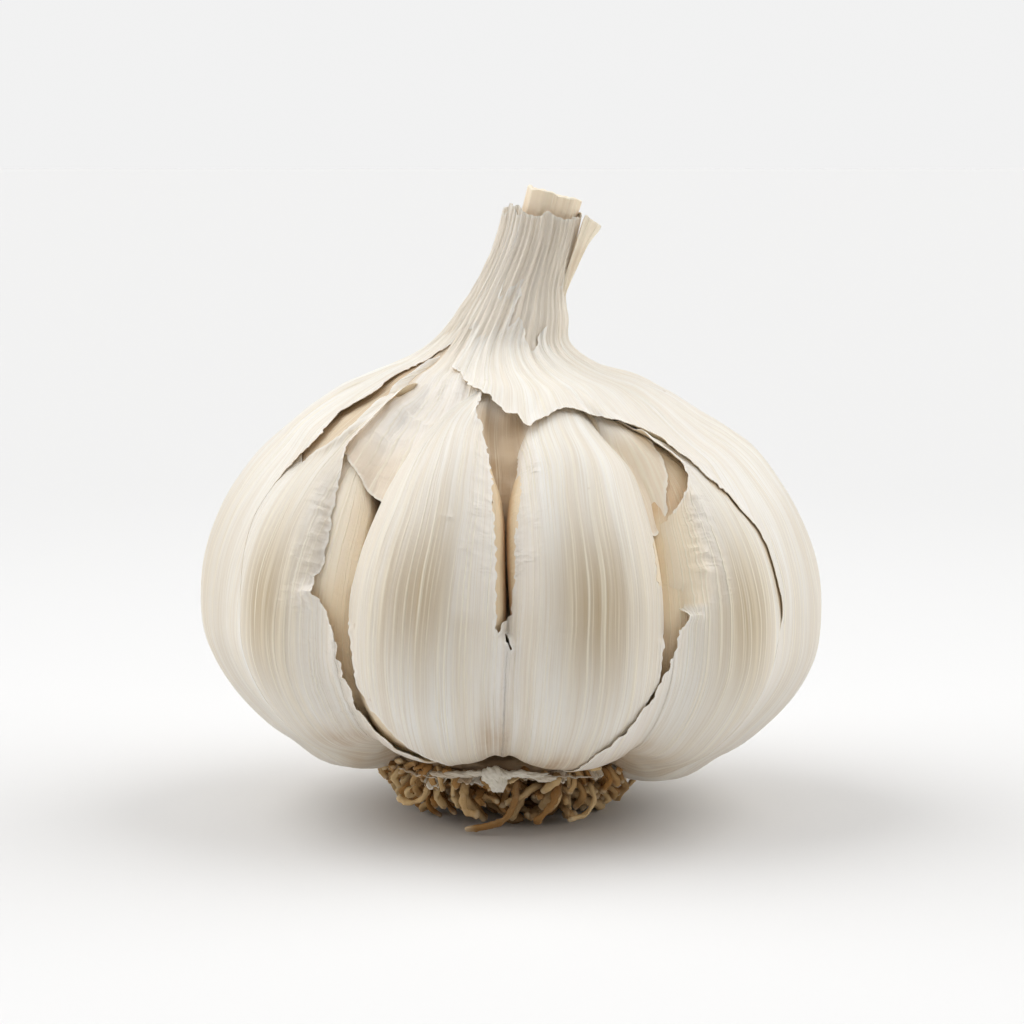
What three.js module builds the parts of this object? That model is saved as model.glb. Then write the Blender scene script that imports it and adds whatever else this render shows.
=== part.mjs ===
// A whole dried garlic bulb, in millimetres. +Z is up, the bulb rests on its trimmed roots at z = 0,
// and -Y is the side with the split, torn skins. The basal plate carries a ring of eleven cloves and a
// central flower stalk; dry leaf wrappers lie over the cloves and close into the neck above them.
import * as THREE from 'three';

// ---- driving dimensions -------------------------------------------------------------------------
const CLOVES = 11;              // cloves in the ring
const CLOVE_PHASE = -0.6;       // azimuth (deg) of the split between the two front cloves
const GROW_TILT = 2.4;          // the whole bulb leans this much towards +X (deg)
const TILT_Z = 20;              // height about which it leans
const SKIN_T = 0.4;             // thickness of a dry outer leaf
const LEAF_T = 0.36;            // thickness of the torn leaves under it
const OFF_LEAF = -0.98;         // offset of the torn leaves below the outer surface
const OFF_INNER = -1.85;        // offset of the inner leaf
const OFF_CLOVE = -2.75;        // offset of the clove backs
const GROOVE = 1.2;             // how far the skins sink between two cloves
const WEDGE_GAP = 0.16;         // half of the gap between neighbouring cloves
const STALK_R = 2.85;           // radius of the dried flower stalk
const STALK_TOP = 59.5;         // height of its cut end
const PLATE_R = 12.6;           // basal plate radius
const PLATE_LO = 5.75;          // underside of the basal plate
const PLATE_HI = 7.15;          // top of the basal plate
const TUFT_FLAT_R = 8.2;        // radius of the trimmed flat that the bulb rests on
const TUFT_R = 13.0;            // widest radius of the root tuft
const TUFT_HI = 5.4;            // top of the root tuft

// Outer surface of the bulb: radius, height and sideways shift of the section's centre.
const PROFILE = [
  [13.4, 6.13, 0], [17.29, 5.42, 0], [20.29, 6.18, 0], [23.6, 8.18, 0], [27.22, 11.98, 0],
  [29.36, 16.01, 0], [29.89, 20.0, 0], [29.43, 24.58, 0], [27.86, 29.13, 0], [25.33, 33.28, 0],
  [22.09, 36.76, 0], [17.73, 39.57, -0.66], [13.43, 42.09, -0.74], [9.59, 43.49, -1.52],
  [6.78, 45.33, -1.77], [5.54, 47.81, -1.06], [4.57, 50.37, -0.45], [4.15, 52.96, 0.35],
  [4.04, 55.49, 1.07], [4.02, 58.2, 1.54],
];

// ---- helpers ------------------------------------------------------------------------------------
const rad = (d) => (d * Math.PI) / 180;
const clamp = (x, a, b) => Math.min(b, Math.max(a, x));
const lerp = (a, b, t) => a + (b - a) * t;
const smooth = (a, b, x) => { const t = clamp((x - a) / (b - a), 0, 1); return t * t * (3 - 2 * t); };

// Value of a piecewise linear curve [[x, y], ...] at x.
function curve(pts, x) {
  if (x <= pts[0][0]) return pts[0][1];
  for (let i = 1; i < pts.length; i++) {
    if (x <= pts[i][0]) {
      const [x0, y0] = pts[i - 1], [x1, y1] = pts[i];
      return lerp(y0, y1, (x - x0) / (x1 - x0 || 1));
    }
  }
  return pts[pts.length - 1][1];
}

// Dense Catmull-Rom through PROFILE, indexed by arc length.
const dense = [];
{
  const P = [PROFILE[0].map((v, i) => 2 * v - PROFILE[1][i]), ...PROFILE,
    PROFILE.at(-1).map((v, i) => 2 * v - PROFILE.at(-2)[i])];
  for (let i = 1; i < P.length - 2; i++) {
    for (let k = 0; k < 12; k++) {
      const t = k / 12;
      dense.push(P[i].map((_, c) => {
        const [a, b, d, e] = [P[i - 1][c], P[i][c], P[i + 1][c], P[i + 2][c]];
        return 0.5 * (2 * b + (d - a) * t + (2 * a - 5 * b + 4 * d - e) * t * t + (3 * b - a - 3 * d + e) * t * t * t);
      }));
    }
  }
  dense.push(P.at(-2));
}
const arc = [0];
for (let i = 1; i < dense.length; i++) arc.push(arc[i - 1] + Math.hypot(dense[i][0] - dense[i - 1][0], dense[i][1] - dense[i - 1][1]));
const TOP = arc.at(-1);

function profileAt(t) {
  const u = clamp(t, 0, TOP);
  let i = 1;
  while (i < arc.length - 1 && arc[i] < u) i++;
  const f = (u - arc[i - 1]) / (arc[i] - arc[i - 1]);
  return [0, 1, 2].map((c) => lerp(dense[i - 1][c], dense[i][c], f));
}
// Radius, height and centre shift at arc length t, moved out by off along the surface normal.
function surfaceAt(t, off) {
  const [r, z, x] = profileAt(t);
  const a = profileAt(t - 0.4), b = profileAt(t + 0.4);
  const n = Math.hypot(b[0] - a[0], b[1] - a[1]);
  return [r + (off * (b[1] - a[1])) / n, z - (off * (b[0] - a[0])) / n, x];
}
// The bulb's lean, applied to every point that grew on it.
function lean(x, y, z) {
  const c = Math.cos(rad(GROW_TILT)), s = Math.sin(rad(GROW_TILT));
  return [x * c + (z - TILT_Z) * s, y, TILT_Z + (z - TILT_Z) * c - x * s];
}
// Point on the bulb: azimuth th (deg, 0 at -Y, positive towards +X), arc length t, offset off.
function onBulb(th, t, off) {
  const [r, z, x] = surfaceAt(t, off);
  return lean(x + r * Math.sin(rad(th)), -r * Math.cos(rad(th)), z);
}

function solid(name, verts, faces, color, rough) {
  const g = new THREE.BufferGeometry();
  g.setAttribute('position', new THREE.Float32BufferAttribute(verts.flat(), 3));
  g.setIndex(faces.flat());
  g.computeVertexNormals();
  const m = new THREE.Mesh(g, new THREE.MeshStandardMaterial({ color, roughness: rough, metalness: 0 }));
  m.name = name;
  return m;
}

// Closed surface from rings of equal length between two pole points; rings run base to tip.
function ringsSolid(rings, pole0, pole1) {
  const n = rings[0].length, v = [pole0, ...rings.flat(), pole1], f = [];
  const id = (i, j) => 1 + i * n + (((j % n) + n) % n);
  for (let j = 0; j < n; j++) f.push([0, id(0, j + 1), id(0, j)]);
  for (let i = 0; i < rings.length - 1; i++) {
    for (let j = 0; j < n; j++) {
      f.push([id(i, j), id(i, j + 1), id(i + 1, j + 1)], [id(i, j), id(i + 1, j + 1), id(i + 1, j)]);
    }
  }
  const last = v.length - 1;
  for (let j = 0; j < n; j++) f.push([last, id(rings.length - 1, j), id(rings.length - 1, j + 1)]);
  return [v, f];
}

// Depth of the hollow that a skin has between two cloves.
function groove(th, t) {
  const q = (1 + Math.cos(rad((th - CLOVE_PHASE) * CLOVES))) / 2;
  return GROOVE * q * q * smooth(3, 12, t) * (1 - smooth(44, 56, t));
}
// A dry leaf as one closed skin: columns of azimuth, each running from low(th) to top(th).
function leaf(cols, low, top, rows, offOut, thick, ring) {
  const n = cols.length, v = [], f = [];
  const outer = (i, j) => ((ring ? (i + n) % n : i) * rows + j);
  const inner = (i, j) => n * rows + outer(i, j);
  for (const side of [0, 1]) {
    for (let i = 0; i < n; i++) {
      const a = low(cols[i]), b = top(cols[i]);
      for (let j = 0; j < rows; j++) {
        const t = lerp(a, b, j / (rows - 1));
        v.push(onBulb(cols[i], t, offOut(t) - groove(cols[i], t) - (side ? thick(t) : 0)));
      }
    }
  }
  const cells = ring ? n : n - 1;
  for (let i = 0; i < cells; i++) {
    for (let j = 0; j < rows - 1; j++) {
      f.push([outer(i, j), outer(i + 1, j), outer(i + 1, j + 1)], [outer(i, j), outer(i + 1, j + 1), outer(i, j + 1)]);
      f.push([inner(i, j), inner(i + 1, j + 1), inner(i + 1, j)], [inner(i, j), inner(i, j + 1), inner(i + 1, j + 1)]);
    }
    const T = rows - 1;
    f.push([outer(i, 0), inner(i + 1, 0), outer(i + 1, 0)], [outer(i, 0), inner(i, 0), inner(i + 1, 0)]);
    f.push([outer(i, T), outer(i + 1, T), inner(i + 1, T)], [outer(i, T), inner(i + 1, T), inner(i, T)]);
  }
  if (!ring) {
    for (let j = 0; j < rows - 1; j++) {
      f.push([outer(0, j), outer(0, j + 1), inner(0, j + 1)], [outer(0, j), inner(0, j + 1), inner(0, j)]);
      const E = n - 1;
      f.push([outer(E, j), inner(E, j + 1), outer(E, j + 1)], [outer(E, j), inner(E, j), inner(E, j + 1)]);
    }
  }
  return [v, f];
}

// Columns with more of them put in where an edge is steep, so that no cell is sheared far across the curve.
function densify(cols, low, top, step = 4.5) {
  const out = [cols[0]];
  for (let i = 1; i < cols.length; i++) {
    const a = cols[i - 1], b = cols[i];
    const n = Math.max(1, Math.ceil(Math.max(Math.abs(low(b) - low(a)), Math.abs(top(b) - top(a))) / step));
    for (let k = 1; k <= n; k++) out.push(lerp(a, b, k / n));
  }
  return out;
}

const bulb = new THREE.Group();
bulb.name = 'garlic_bulb';
const CREAM = 0xe6ddcf, TAN = 0xd8bd98, PALE = 0xe9dfe0, FIBRE = 0xd9c7a8, ROOT = 0x8d7350;

// ---- cloves -------------------------------------------------------------------------------------
// Half width of a clove's back, by arc length: a teardrop, widest low down and drawn to a point above.
const BACK = [[3.2, 2.2], [6, 4.2], [10, 5.7], [15, 6.9], [20, 7.5], [27, 7.6], [33, 7.2], [38, 6.3], [43, 4.9], [48, 3.1], [52, 1.6], [55.5, 0.7]];
const STATIONS = [4.2, 7.5, 11.5, 16, 20.5, 25, 29.5, 34, 38.5, 43, 47, 50.5, 53.3];
const halfWedge = rad(180 / CLOVES);
const BELLY = [[4.2, 9.0, 8.4], [11.5, 6.6, 10.0], [20.5, 4.9, 15.5], [29.5, 4.4, 23.5], [38.5, 4.6, 31.5], [47, 5.2, 37.2], [53.3, 6.0, 40.0]];
function bellyAt(t) {
  return [curve(BELLY.map((b) => [b[0], b[1]]), t), curve(BELLY.map((b) => [b[0], b[2]]), t)];
}
function clove(k) {
  // Neighbours differ a little in breadth and fullness, always inside their own wedge.
  const az = rad(CLOVE_PHASE + (k + 0.5) * (360 / CLOVES));
  const w = 1 - 0.035 * ((k * 7) % 3), full = -0.12 * ((k * 5) % 4);
  const place = (rho, lat, z, dx = 0) => lean(dx + rho * Math.sin(az) + lat * Math.cos(az), -rho * Math.cos(az) + lat * Math.sin(az), z);
  const wedge = (rho) => Math.max(0.2, rho * Math.tan(halfWedge) - WEDGE_GAP / Math.cos(halfWedge));
  const rings = [];
  for (const t of STATIONS) {
    const [dr, dz, dx] = surfaceAt(t, OFF_CLOVE + full * smooth(3, 14, t) * (1 - smooth(46, 53, t)));
    const [br, bz] = bellyAt(t);
    const len = Math.hypot(dr - br, dz - bz), nr = (dr - br) / len, nz = (dz - bz) / len;
    const wd = curve(BACK, t) * w, ring = [];
    const at = (depth, lat) => {
      const rho = dr - nr * depth, z = dz - nz * depth;
      ring.push(place(rho, clamp(lat, -wedge(rho), wedge(rho)), z, dx));
    };
    const round = Math.min(0.55 * wd, 0.42 * len);
    for (let i = -4; i <= 4; i++) {
      const a = rad(i * 22.5);
      at(round * (1 - Math.cos(a)), wd * Math.sin(a));
    }
    const flank = [0.62, 0.84];
    for (const q of flank) at(Math.max(len * q, round * 1.05), wd);
    at(len * 0.97, wd * 0.45);
    at(len, 0);
    at(len * 0.97, -wd * 0.45);
    for (const q of [...flank].reverse()) at(Math.max(len * q, round * 1.05), -wd);
    rings.push(ring);
  }
  const base = place(12.4, 0, 7.75), tip = place(8.8, 0, 41.1, profileAt(55)[2]);
  return ringsSolid(rings, base, tip);
}
for (let k = 0; k < CLOVES; k++) {
  const [v, f] = clove(k);
  bulb.add(solid(`clove_${String(k + 1).padStart(2, '0')}`, v, f, TAN, 0.5));
}

// ---- outer wrapper: neck sheath, shoulders, sides and back, torn open at the front ---------------
const OUTER_EDGE = [
  [-180, 1.2], [-71, 1.2], [-69.5, 12], [-67.2, 24], [-64.6, 33.4], [-59.8, 34.6], [-57.9, 40.5], [-54.1, 42], [-52.5, 47],
  [-51, 52], [-48.5, 57.5], [-42.2, 61.4], [-33.1, 62.4], [-28.6, 59.5], [-23.9, 56.3], [-19.3, 54.3], [-10.6, 52.3], [-4.2, 50.3],
  [1.0, 49.0], [4.3, 47.6], [14.9, 50.2], [23.7, 49.9], [33.5, 48.0], [39, 45.3], [45, 41.1], [50.7, 38.0], [55, 34], [56.6, 27],
  [59, 18], [62, 8], [64.5, 1.2], [180, 1.2],
];
const outerCols = [];
for (let a = -180; a < -76; a += 6) outerCols.push(a);
outerCols.push(-71, -69.5, -67.2, -64.6, -62, -58, -54.1, -51, -47, -42.2, -37, -33, -28.6, -24, -19.3, -15, -10.6, -6, -2, 1, 4.3, 9.5, 14.9, 20,
  25, 30, 35, 39, 42, 45, 48, 50.7, 53, 55, 56.6, 59, 62, 64.5);
for (let a = 70; a < 179; a += 6) outerCols.push(a);
const rim = (th) => TOP - 0.35 + 0.3 * Math.sin(rad(3 * th)) * Math.cos(rad(2 * th + 40));
{
  const edge = (th) => curve(OUTER_EDGE, th);
  const [v, f] = leaf(densify(outerCols, edge, rim), edge, rim, 13, () => 0, () => SKIN_T, true);
  bulb.add(solid('wrapper_outer', v, f, CREAM, 0.55));
}

// ---- inner leaf: the second sheath of the neck, running down over the shoulders under the outer one
const INNER_EDGE = [[-180, 57], [-80, 56], [-66, 50], [-50, 44], [-44, 41.2], [-30, 41.2], [-24.5, 42.5], [-21, 48.4], [-17, 54.5], [-8, 57], [180, 57]];
{
  const cols = [];
  for (let a = -180; a < -72; a += 15) cols.push(a);
  cols.push(-72, -64, -57, -50, -44, -37, -30, -25, -21, -17, -8, 4);
  for (let a = 18; a < 179; a += 15) cols.push(a);
  const off = (t) => lerp(OFF_INNER, -0.58, smooth(56, 67, t));
  const edge = (th) => curve(INNER_EDGE, th), cut = (th) => TOP + 0.35 * Math.sin(rad(th + 200));
  const [v, f] = leaf(densify(cols, edge, cut), edge, cut, 9, off, () => 0.3, true);
  bulb.add(solid('wrapper_inner', v, f, PALE, 0.5));
}

// ---- torn leaves over the front cloves ----------------------------------------------------------
function tornLeaf(name, cols, low, top, rows) {
  const lo = (th) => curve(low, th), hi = (th) => curve(top, th);
  const [v, f] = leaf(densify(cols, lo, hi), lo, hi, rows, () => OFF_LEAF, () => LEAF_T, false);
  bulb.add(solid(name, v, f, CREAM, 0.55));
}
tornLeaf('wrapper_left', [-70, -67, -63.5, -61, -58, -54, -50, -46, -43, -41, -39, -37, -35.5, -32, -30, -28.7, -26.7, -23, -18],
  [[-70, 1.4], [-18, 1.4]],
  [[-70, 18], [-67, 27], [-63.5, 33], [-61, 36], [-58, 39], [-54, 44], [-50, 49], [-46, 53], [-43, 56], [-41, 52], [-39, 40], [-37, 34], [-35.5, 29],
    [-32, 26], [-30, 24], [-28.7, 19.5], [-26.7, 15.2], [-23, 12], [-18, 9]], 13);
tornLeaf('wrapper_front', [-30.5, -29, -27, -24.5, -22, -19, -15, -11, -8.2, -5.5, -3.4, -2.4, -1.9, -1.3, -0.8, 0, 1.8, 4.5, 9, 14, 18, 21, 24.5, 27, 28.5],
  [[-30.5, 26], [-29, 23.5], [-27, 19.5], [-24.5, 16.4], [-22, 13.6], [-19, 11], [-15, 4], [-11, 1.4], [14, 1.4], [18, 9], [21, 15], [24.5, 20], [27, 24], [28.5, 31]],
  [[-30.5, 38.5], [-29, 42.4], [-27, 45], [-24.5, 47], [-22, 48.8], [-19, 50.5], [-15, 52.6], [-11, 52], [-8.2, 46.5], [-5.5, 41.5], [-3.4, 38],
    [-2.4, 35], [-1.9, 27.2], [-1.3, 27.2], [-0.8, 37], [0, 42], [1.8, 47.2], [4.5, 50], [9, 52], [14, 52.6], [18, 51.4], [21, 50], [24.5, 48.6], [27, 46], [28.5, 42]], 13);
tornLeaf('wrapper_right', [18.5, 21.5, 25, 27.5, 29.6, 31.4, 33.5, 35.5, 38, 41, 45, 49, 52, 55, 58, 60.5, 63],
  [[18.5, 1.4], [63, 1.4]],
  [[18.5, 7.5], [21.5, 13.4], [25, 18.5], [27.5, 22.5], [29.6, 27], [31.4, 32], [33.5, 36], [35.5, 41], [38, 44.5], [41, 46.5], [45, 46], [49, 43.5],
    [52, 41], [55, 38], [58, 33], [60.5, 27], [63, 18]], 13);

// ---- flower stalk, cut off above the sheaths ----------------------------------------------------
{
  const rings = [], n = 12;
  const axis = (z) => { for (let i = 0; i < dense.length; i++) if (i > 60 && dense[i][1] >= z) return dense[i][2]; return dense.at(-1)[2]; };
  const st = [[7.75, 2.2], [20, 2.3], [36, 2.45], [43, 2.6], [46.5, 2.8], [50, STALK_R], [54, STALK_R], [57, STALK_R], [STALK_TOP, STALK_R - 0.02]];
  for (const [z, r] of st) {
    const cx = z < 30 ? 0 : axis(z) + (z > 58.2 ? (z - 58.2) * 0.17 : 0), ring = [];
    for (let j = 0; j < n; j++) {
      const a = (2 * Math.PI * j) / n, q = z === STALK_TOP ? -0.19 * Math.cos(a) * r : 0;
      ring.push(lean(cx + r * Math.cos(a), r * Math.sin(a), z + q));
    }
    rings.push(ring);
  }
  const mid = (z, cx) => lean(cx, 0, z);
  const [v, f] = ringsSolid(rings, mid(7.75, 0), mid(STALK_TOP, axis(58.2) + (STALK_TOP - 58.2) * 0.17));
  bulb.add(solid('flower_stalk', v, f, FIBRE, 0.75));
}

// ---- loose strip standing off the neck ----------------------------------------------------------
{
  const line = [[5.95, 51.6, 0.9], [6.55, 53.2, 1.25], [7.2, 54.9, 1.3], [7.75, 56.3, 1.1], [8.35, 57.0, 0.5]];
  const rings = line.map(([x, z, h]) => {
    const t = 0.17;
    return [[x + t, -h, z - t * 0.5], [x + t, h, z - t * 0.5], [x - t, h, z + t * 0.5], [x - t, -h, z + t * 0.5]];
  });
  const [v, f] = ringsSolid(rings, [5.88, 0, 51.4], [8.45, 0, 57.15]);
  bulb.add(solid('neck_flake', v, f, FIBRE, 0.6));
}

// ---- basal plate and trimmed roots --------------------------------------------------------------
{
  const rings = [], n = 26;
  for (const [r, z] of [[PLATE_R - 2.2, PLATE_LO], [PLATE_R, PLATE_LO + 0.35], [PLATE_R, PLATE_HI - 0.35], [PLATE_R - 1.0, PLATE_HI], [4.2, PLATE_HI]]) {
    rings.push(Array.from({ length: n }, (_, j) => {
      const a = (2 * Math.PI * j) / n, q = r * (1 + 0.015 * Math.sin(3 * a) + 0.01 * Math.sin(7 * a + 1));
      return lean(q * Math.cos(a), q * Math.sin(a), z);
    }));
  }
  const [v, f] = ringsSolid(rings, lean(0, 0, PLATE_LO), lean(0, 0, PLATE_HI));
  bulb.add(solid('basal_plate', v, f, TAN, 0.8));
}
{
  const rings = [], n = 30;
  const sides = [[TUFT_FLAT_R, 0], [10.8, 0.75], [12.5, 2.1], [TUFT_R, 3.7], [12.2, TUFT_HI]];
  sides.forEach(([r, z], i) => {
    rings.push(Array.from({ length: n }, (_, j) => {
      const a = (2 * Math.PI * j) / n;
      const q = r * (1 + (i ? 0.03 : 0.05) * Math.sin(4 * a + 0.7 * i) + 0.025 * Math.sin(9 * a + 2 * i));
      const x = q * Math.cos(a), y = q * Math.sin(a), h = z / TUFT_HI;
      return [x - 0.6 * h, y, z - x * Math.tan(rad(GROW_TILT)) * h];
    }));
  });
  const [v, f] = ringsSolid(rings, [0, 0, 0], [-0.6, 0, TUFT_HI]);
  bulb.add(solid('root_tuft', v, f, ROOT, 0.9));
}

export default bulb;
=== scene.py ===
# Garlic bulb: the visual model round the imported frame. All lengths in the code are millimetres until a mesh is made.
import math

import bpy
import numpy as np
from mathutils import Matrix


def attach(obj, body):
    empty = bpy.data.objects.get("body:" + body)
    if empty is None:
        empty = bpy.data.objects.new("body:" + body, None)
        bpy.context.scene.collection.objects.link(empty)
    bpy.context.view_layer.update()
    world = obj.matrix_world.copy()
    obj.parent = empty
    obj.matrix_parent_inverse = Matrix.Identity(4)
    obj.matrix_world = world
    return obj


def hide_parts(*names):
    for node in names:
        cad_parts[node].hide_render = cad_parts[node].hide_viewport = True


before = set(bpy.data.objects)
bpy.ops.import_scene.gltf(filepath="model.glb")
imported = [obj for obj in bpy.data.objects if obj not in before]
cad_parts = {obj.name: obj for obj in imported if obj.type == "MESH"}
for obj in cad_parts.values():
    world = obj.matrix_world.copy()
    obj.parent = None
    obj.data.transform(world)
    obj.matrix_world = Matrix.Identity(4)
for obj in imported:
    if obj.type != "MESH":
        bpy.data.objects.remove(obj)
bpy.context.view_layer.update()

# ---------------------------------------------------------------------------------------------
# The bulb's form, in millimetres. th is the azimuth in degrees, 0 at -Y and positive towards +X.
# t is the arc length up the bulb's outline from the basal plate, 0 at the plate and TOT at the neck's cut.
# ---------------------------------------------------------------------------------------------
PROFILE = np.array([(13.4, 6.13, 0.0), (17.29, 5.42, 0.0), (20.29, 6.18, 0.0), (23.6, 8.18, 0.0), (27.22, 11.98, 0.0),
    (29.36, 16.01, 0.0), (29.89, 20.0, 0.0), (29.43, 24.58, 0.0), (27.86, 29.13, 0.0), (25.33, 33.28, 0.0),
    (22.09, 36.76, 0.0), (17.73, 39.57, -0.66), (13.43, 42.09, -0.74), (9.59, 43.49, -1.52), (6.78, 45.33, -1.77),
    (5.54, 47.81, -1.06), (4.57, 50.37, -0.45), (4.15, 52.96, 0.35), (4.04, 55.49, 1.07), (4.02, 58.2, 1.54)])
LEAN = math.radians(2.4)
LEAN_Z = 20.0


def _dense(P, n=12):
    P = np.vstack([2 * P[0] - P[1], P, 2 * P[-1] - P[-2]])
    out = []
    for i in range(1, len(P) - 2):
        for k in range(n):
            u = k / n
            a, b, c, d = P[i - 1], P[i], P[i + 1], P[i + 2]
            out.append(0.5 * (2 * b + (c - a) * u + (2 * a - 5 * b + 4 * c - d) * u * u + (3 * b - a - 3 * c + d) * u ** 3))
    out.append(P[-2])
    return np.array(out)


_D = _dense(PROFILE)
_L = np.concatenate([[0], np.cumsum(np.hypot(np.diff(_D[:, 0]), np.diff(_D[:, 1])))])
TOT = float(_L[-1])
_dl = (_D[1] - _D[0]) / (_L[1] - _L[0])
_dr = (_D[-1] - _D[-2]) / (_L[-1] - _L[-2])
# straight run-outs at both ends, so that a leaf may start under the plate or stand above the cut
_D = np.vstack([_D[0] - _dl * 6, _D, _D[-1] + _dr * 6])
_L = np.concatenate([[-6], _L, [TOT + 6]])


def prof(t):
    R = np.interp(t, _L, _D[:, 0])
    Z = np.interp(t, _L, _D[:, 1])
    X = np.interp(t, _L, _D[:, 2])
    a, b = np.asarray(t) - 0.5, np.asarray(t) + 0.5
    dr = np.interp(b, _L, _D[:, 0]) - np.interp(a, _L, _D[:, 0])
    dz = np.interp(b, _L, _D[:, 1]) - np.interp(a, _L, _D[:, 1])
    n = np.hypot(dr, dz)
    return R, Z, X, dz / n, -dr / n


def lean(x, y, z):
    c, s = math.cos(LEAN), math.sin(LEAN)
    x, y, z = np.broadcast_arrays(x, y, z)
    return np.stack([x * c + (z - LEAN_Z) * s, y, LEAN_Z + (z - LEAN_Z) * c - x * s], -1)


def base_lift(th, t):
    """The front cloves sit higher on the plate than the ones at the sides and back."""
    a = np.abs((np.asarray(th, float) + 180.0) % 360.0 - 180.0)
    return 1.75 * (1 - smooth(4.5, 13.5, t)) * (1 - smooth(36, 60, a)) - 2.5 * (1 - smooth(-0.5, 8.5, t)) * smooth(42, 64, a)


def place(th, t, off):
    """Point at azimuth th, arc length t, off mm above the bulb's smooth outline."""
    R, Z, X, nr, nz = prof(t)
    off = off - base_lift(th, t)
    a = np.radians(th)
    r = R + off * nr
    return lean(X + r * np.sin(a), -r * np.cos(a), Z + off * nz)


def smooth(a, b, x):
    u = np.clip((x - a) / (b - a), 0, 1)
    return u * u * (3 - 2 * u)


def soft_max(a, b, k):
    """The larger of a and b, rounded over k where they meet."""
    d = np.clip(0.5 + 0.5 * (a - b) / k, 0, 1)
    return b + (a - b) * d + k * d * (1 - d)


def wrap(th):
    return (th + 180.0) % 360.0 - 180.0


# ---- the ring of cloves: centre azimuth and half width (mm) of each back, against t ------------
PITCH = 360.0 / 11
PHASE = -0.6
_T = np.arange(-2.0, 62.01, 0.5)


def _knots(pts, col):
    p = np.array(pts, float)
    v = np.interp(_T, p[:, 0], p[:, col])
    k = np.exp(-0.5 * (np.arange(-6, 7) / 2.4) ** 2)
    k /= k.sum()
    return np.convolve(np.pad(v, 6, mode="edge"), k, mode="valid")


GENERIC = [(-2, 0.3), (1, 1.6), (3, 3.4), (6, 5.1), (10, 6.35), (15, 7.4), (20, 8.15), (25, 8.4), (30, 8.1), (34, 7.6), (38, 6.8),
           (42, 5.4), (46, 3.8), (49, 2.6), (52, 1.6), (54.5, 0.8), (56.5, 0.3)]
SPECIAL = {
    # front right
    0: [(-2, 15.4, 0.3), (1, 15.4, 1.6), (3, 15.2, 3.4), (6, 15.0, 5.0), (10, 14.9, 6.2), (15, 14.9, 7.2), (20, 14.9, 8.0), (25, 14.9, 8.2),
        (30, 14.8, 8.0), (34, 14.6, 7.7), (38, 14.4, 7.15), (41.5, 14.6, 6.4), (44.2, 14.9, 5.7), (46.6, 15.0, 4.6), (49.5, 16.2, 3.3),
        (52, 17.3, 2.0), (54.5, 18, 0.9), (56.5, 18, 0.3)],
    # right
    1: [(-2, 48.5, 0.3), (1, 48.5, 1.6), (3, 48.3, 3.4), (6, 48.0, 5.1), (10, 47.6, 6.4), (15, 47.2, 7.4), (20, 47.0, 8.1), (25, 46.8, 8.35),
        (30, 46.5, 8.0), (34, 46.0, 7.3), (37, 45.2, 6.3), (40, 43.8, 4.9), (43, 41.4, 3.4), (45, 38.8, 2.4), (47, 35.4, 1.6), (49, 31.5, 1.1),
        (51, 28.0, 0.8), (53, 26, 0.3)],
    # left
    9: [(-2, -49.7, 0.3), (1, -49.7, 1.6), (3, -49.7, 3.4), (6, -49.7, 5.1), (10, -49.7, 6.4), (15, -49.6, 7.4), (20, -49.6, 8.1), (25, -49.6, 8.3),
        (30, -49.5, 8.0), (33, -49.4, 7.5), (36, -49.2, 6.8), (40, -48.6, 5.4), (43, -47.8, 4.1), (46, -46.5, 2.8), (49, -44.6, 1.9),
        (52, -42.3, 1.2), (55, -39.8, 0.8), (58, -37.5, 0.3)],
    # front left
    10: [(-2, -17.0, 0.3), (1, -17.0, 1.6), (3, -17.0, 3.4), (6, -16.9, 5.1), (10, -16.8, 6.35), (15, -16.8, 7.45), (20, -16.8, 8.2), (25, -16.8, 8.5),
         (30, -16.7, 8.4), (34, -16.4, 7.9), (38, -16.1, 7.05), (40.5, -16.6, 6.05), (44.5, -17.2, 4.4), (48.3, -16.5, 2.6), (50.2, -15.4, 1.8),
         (52.5, -13.2, 1.1), (54.5, -12.0, 0.5), (56, -12, 0.2)],
}
_wob = np.random.default_rng(11)
CLOVE_C, CLOVE_W = [], []
for _k in range(11):
    if _k in SPECIAL:
        CLOVE_C.append(_knots(SPECIAL[_k], 1))
        CLOVE_W.append(_knots(SPECIAL[_k], 2))
    else:
        _c = PHASE + (_k + 0.5) * PITCH + _wob.uniform(-0.6, 0.6) + _wob.uniform(-1.6, 1.6) * smooth(30, 54, _T)
        CLOVE_C.append((_c + 180.0) % 360.0 - 180.0)
        CLOVE_W.append(_knots([(a, 0, b) for a, b in GENERIC], 2) * _wob.uniform(0.96, 1.0))
KAPPA = 0.43        # depth of a back's rounding against its half width


def clove_cw(k, t):
    return np.interp(t, _T, CLOVE_C[k]), np.interp(t, _T, CLOVE_W[k])


def clove_height(th, t, k=None):
    """Height of the clove backs over the smooth outline (0 on a clove's ridge, negative between two)."""
    th, t = np.broadcast_arrays(np.asarray(th, float), np.asarray(t, float))
    R = prof(t)[0]
    best = np.full(th.shape, -9.0)
    for i in (range(11) if k is None else [k]):
        c, w = clove_cw(i, t)
        lat = np.abs(wrap(th - c)) * np.radians(1) * R
        u = np.clip(lat / np.maximum(w, 0.05), 0, 1)
        h = -KAPPA * w * (1 - np.sqrt(1 - u * u * 0.985)) - 2.2 * np.maximum(lat - w, 0) - 0.9 * smooth(50, 57, t)
        best = np.maximum(best, h)
    return best


# ---- smooth noise ---------------------------------------------------------------------------
def _hash(i, j, seed):
    n = (i.astype(np.int64) * 73856093) ^ (j.astype(np.int64) * 19349663) ^ (int(seed) * 83492791 + 1013904223)
    n = (n ^ (n >> 13)) * 1274126177 & 0x7FFFFFFF
    n = (n ^ (n >> 15)) * 668265263 & 0x7FFFFFFF
    return (n ^ (n >> 12)) & 0xFFFFF


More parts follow.
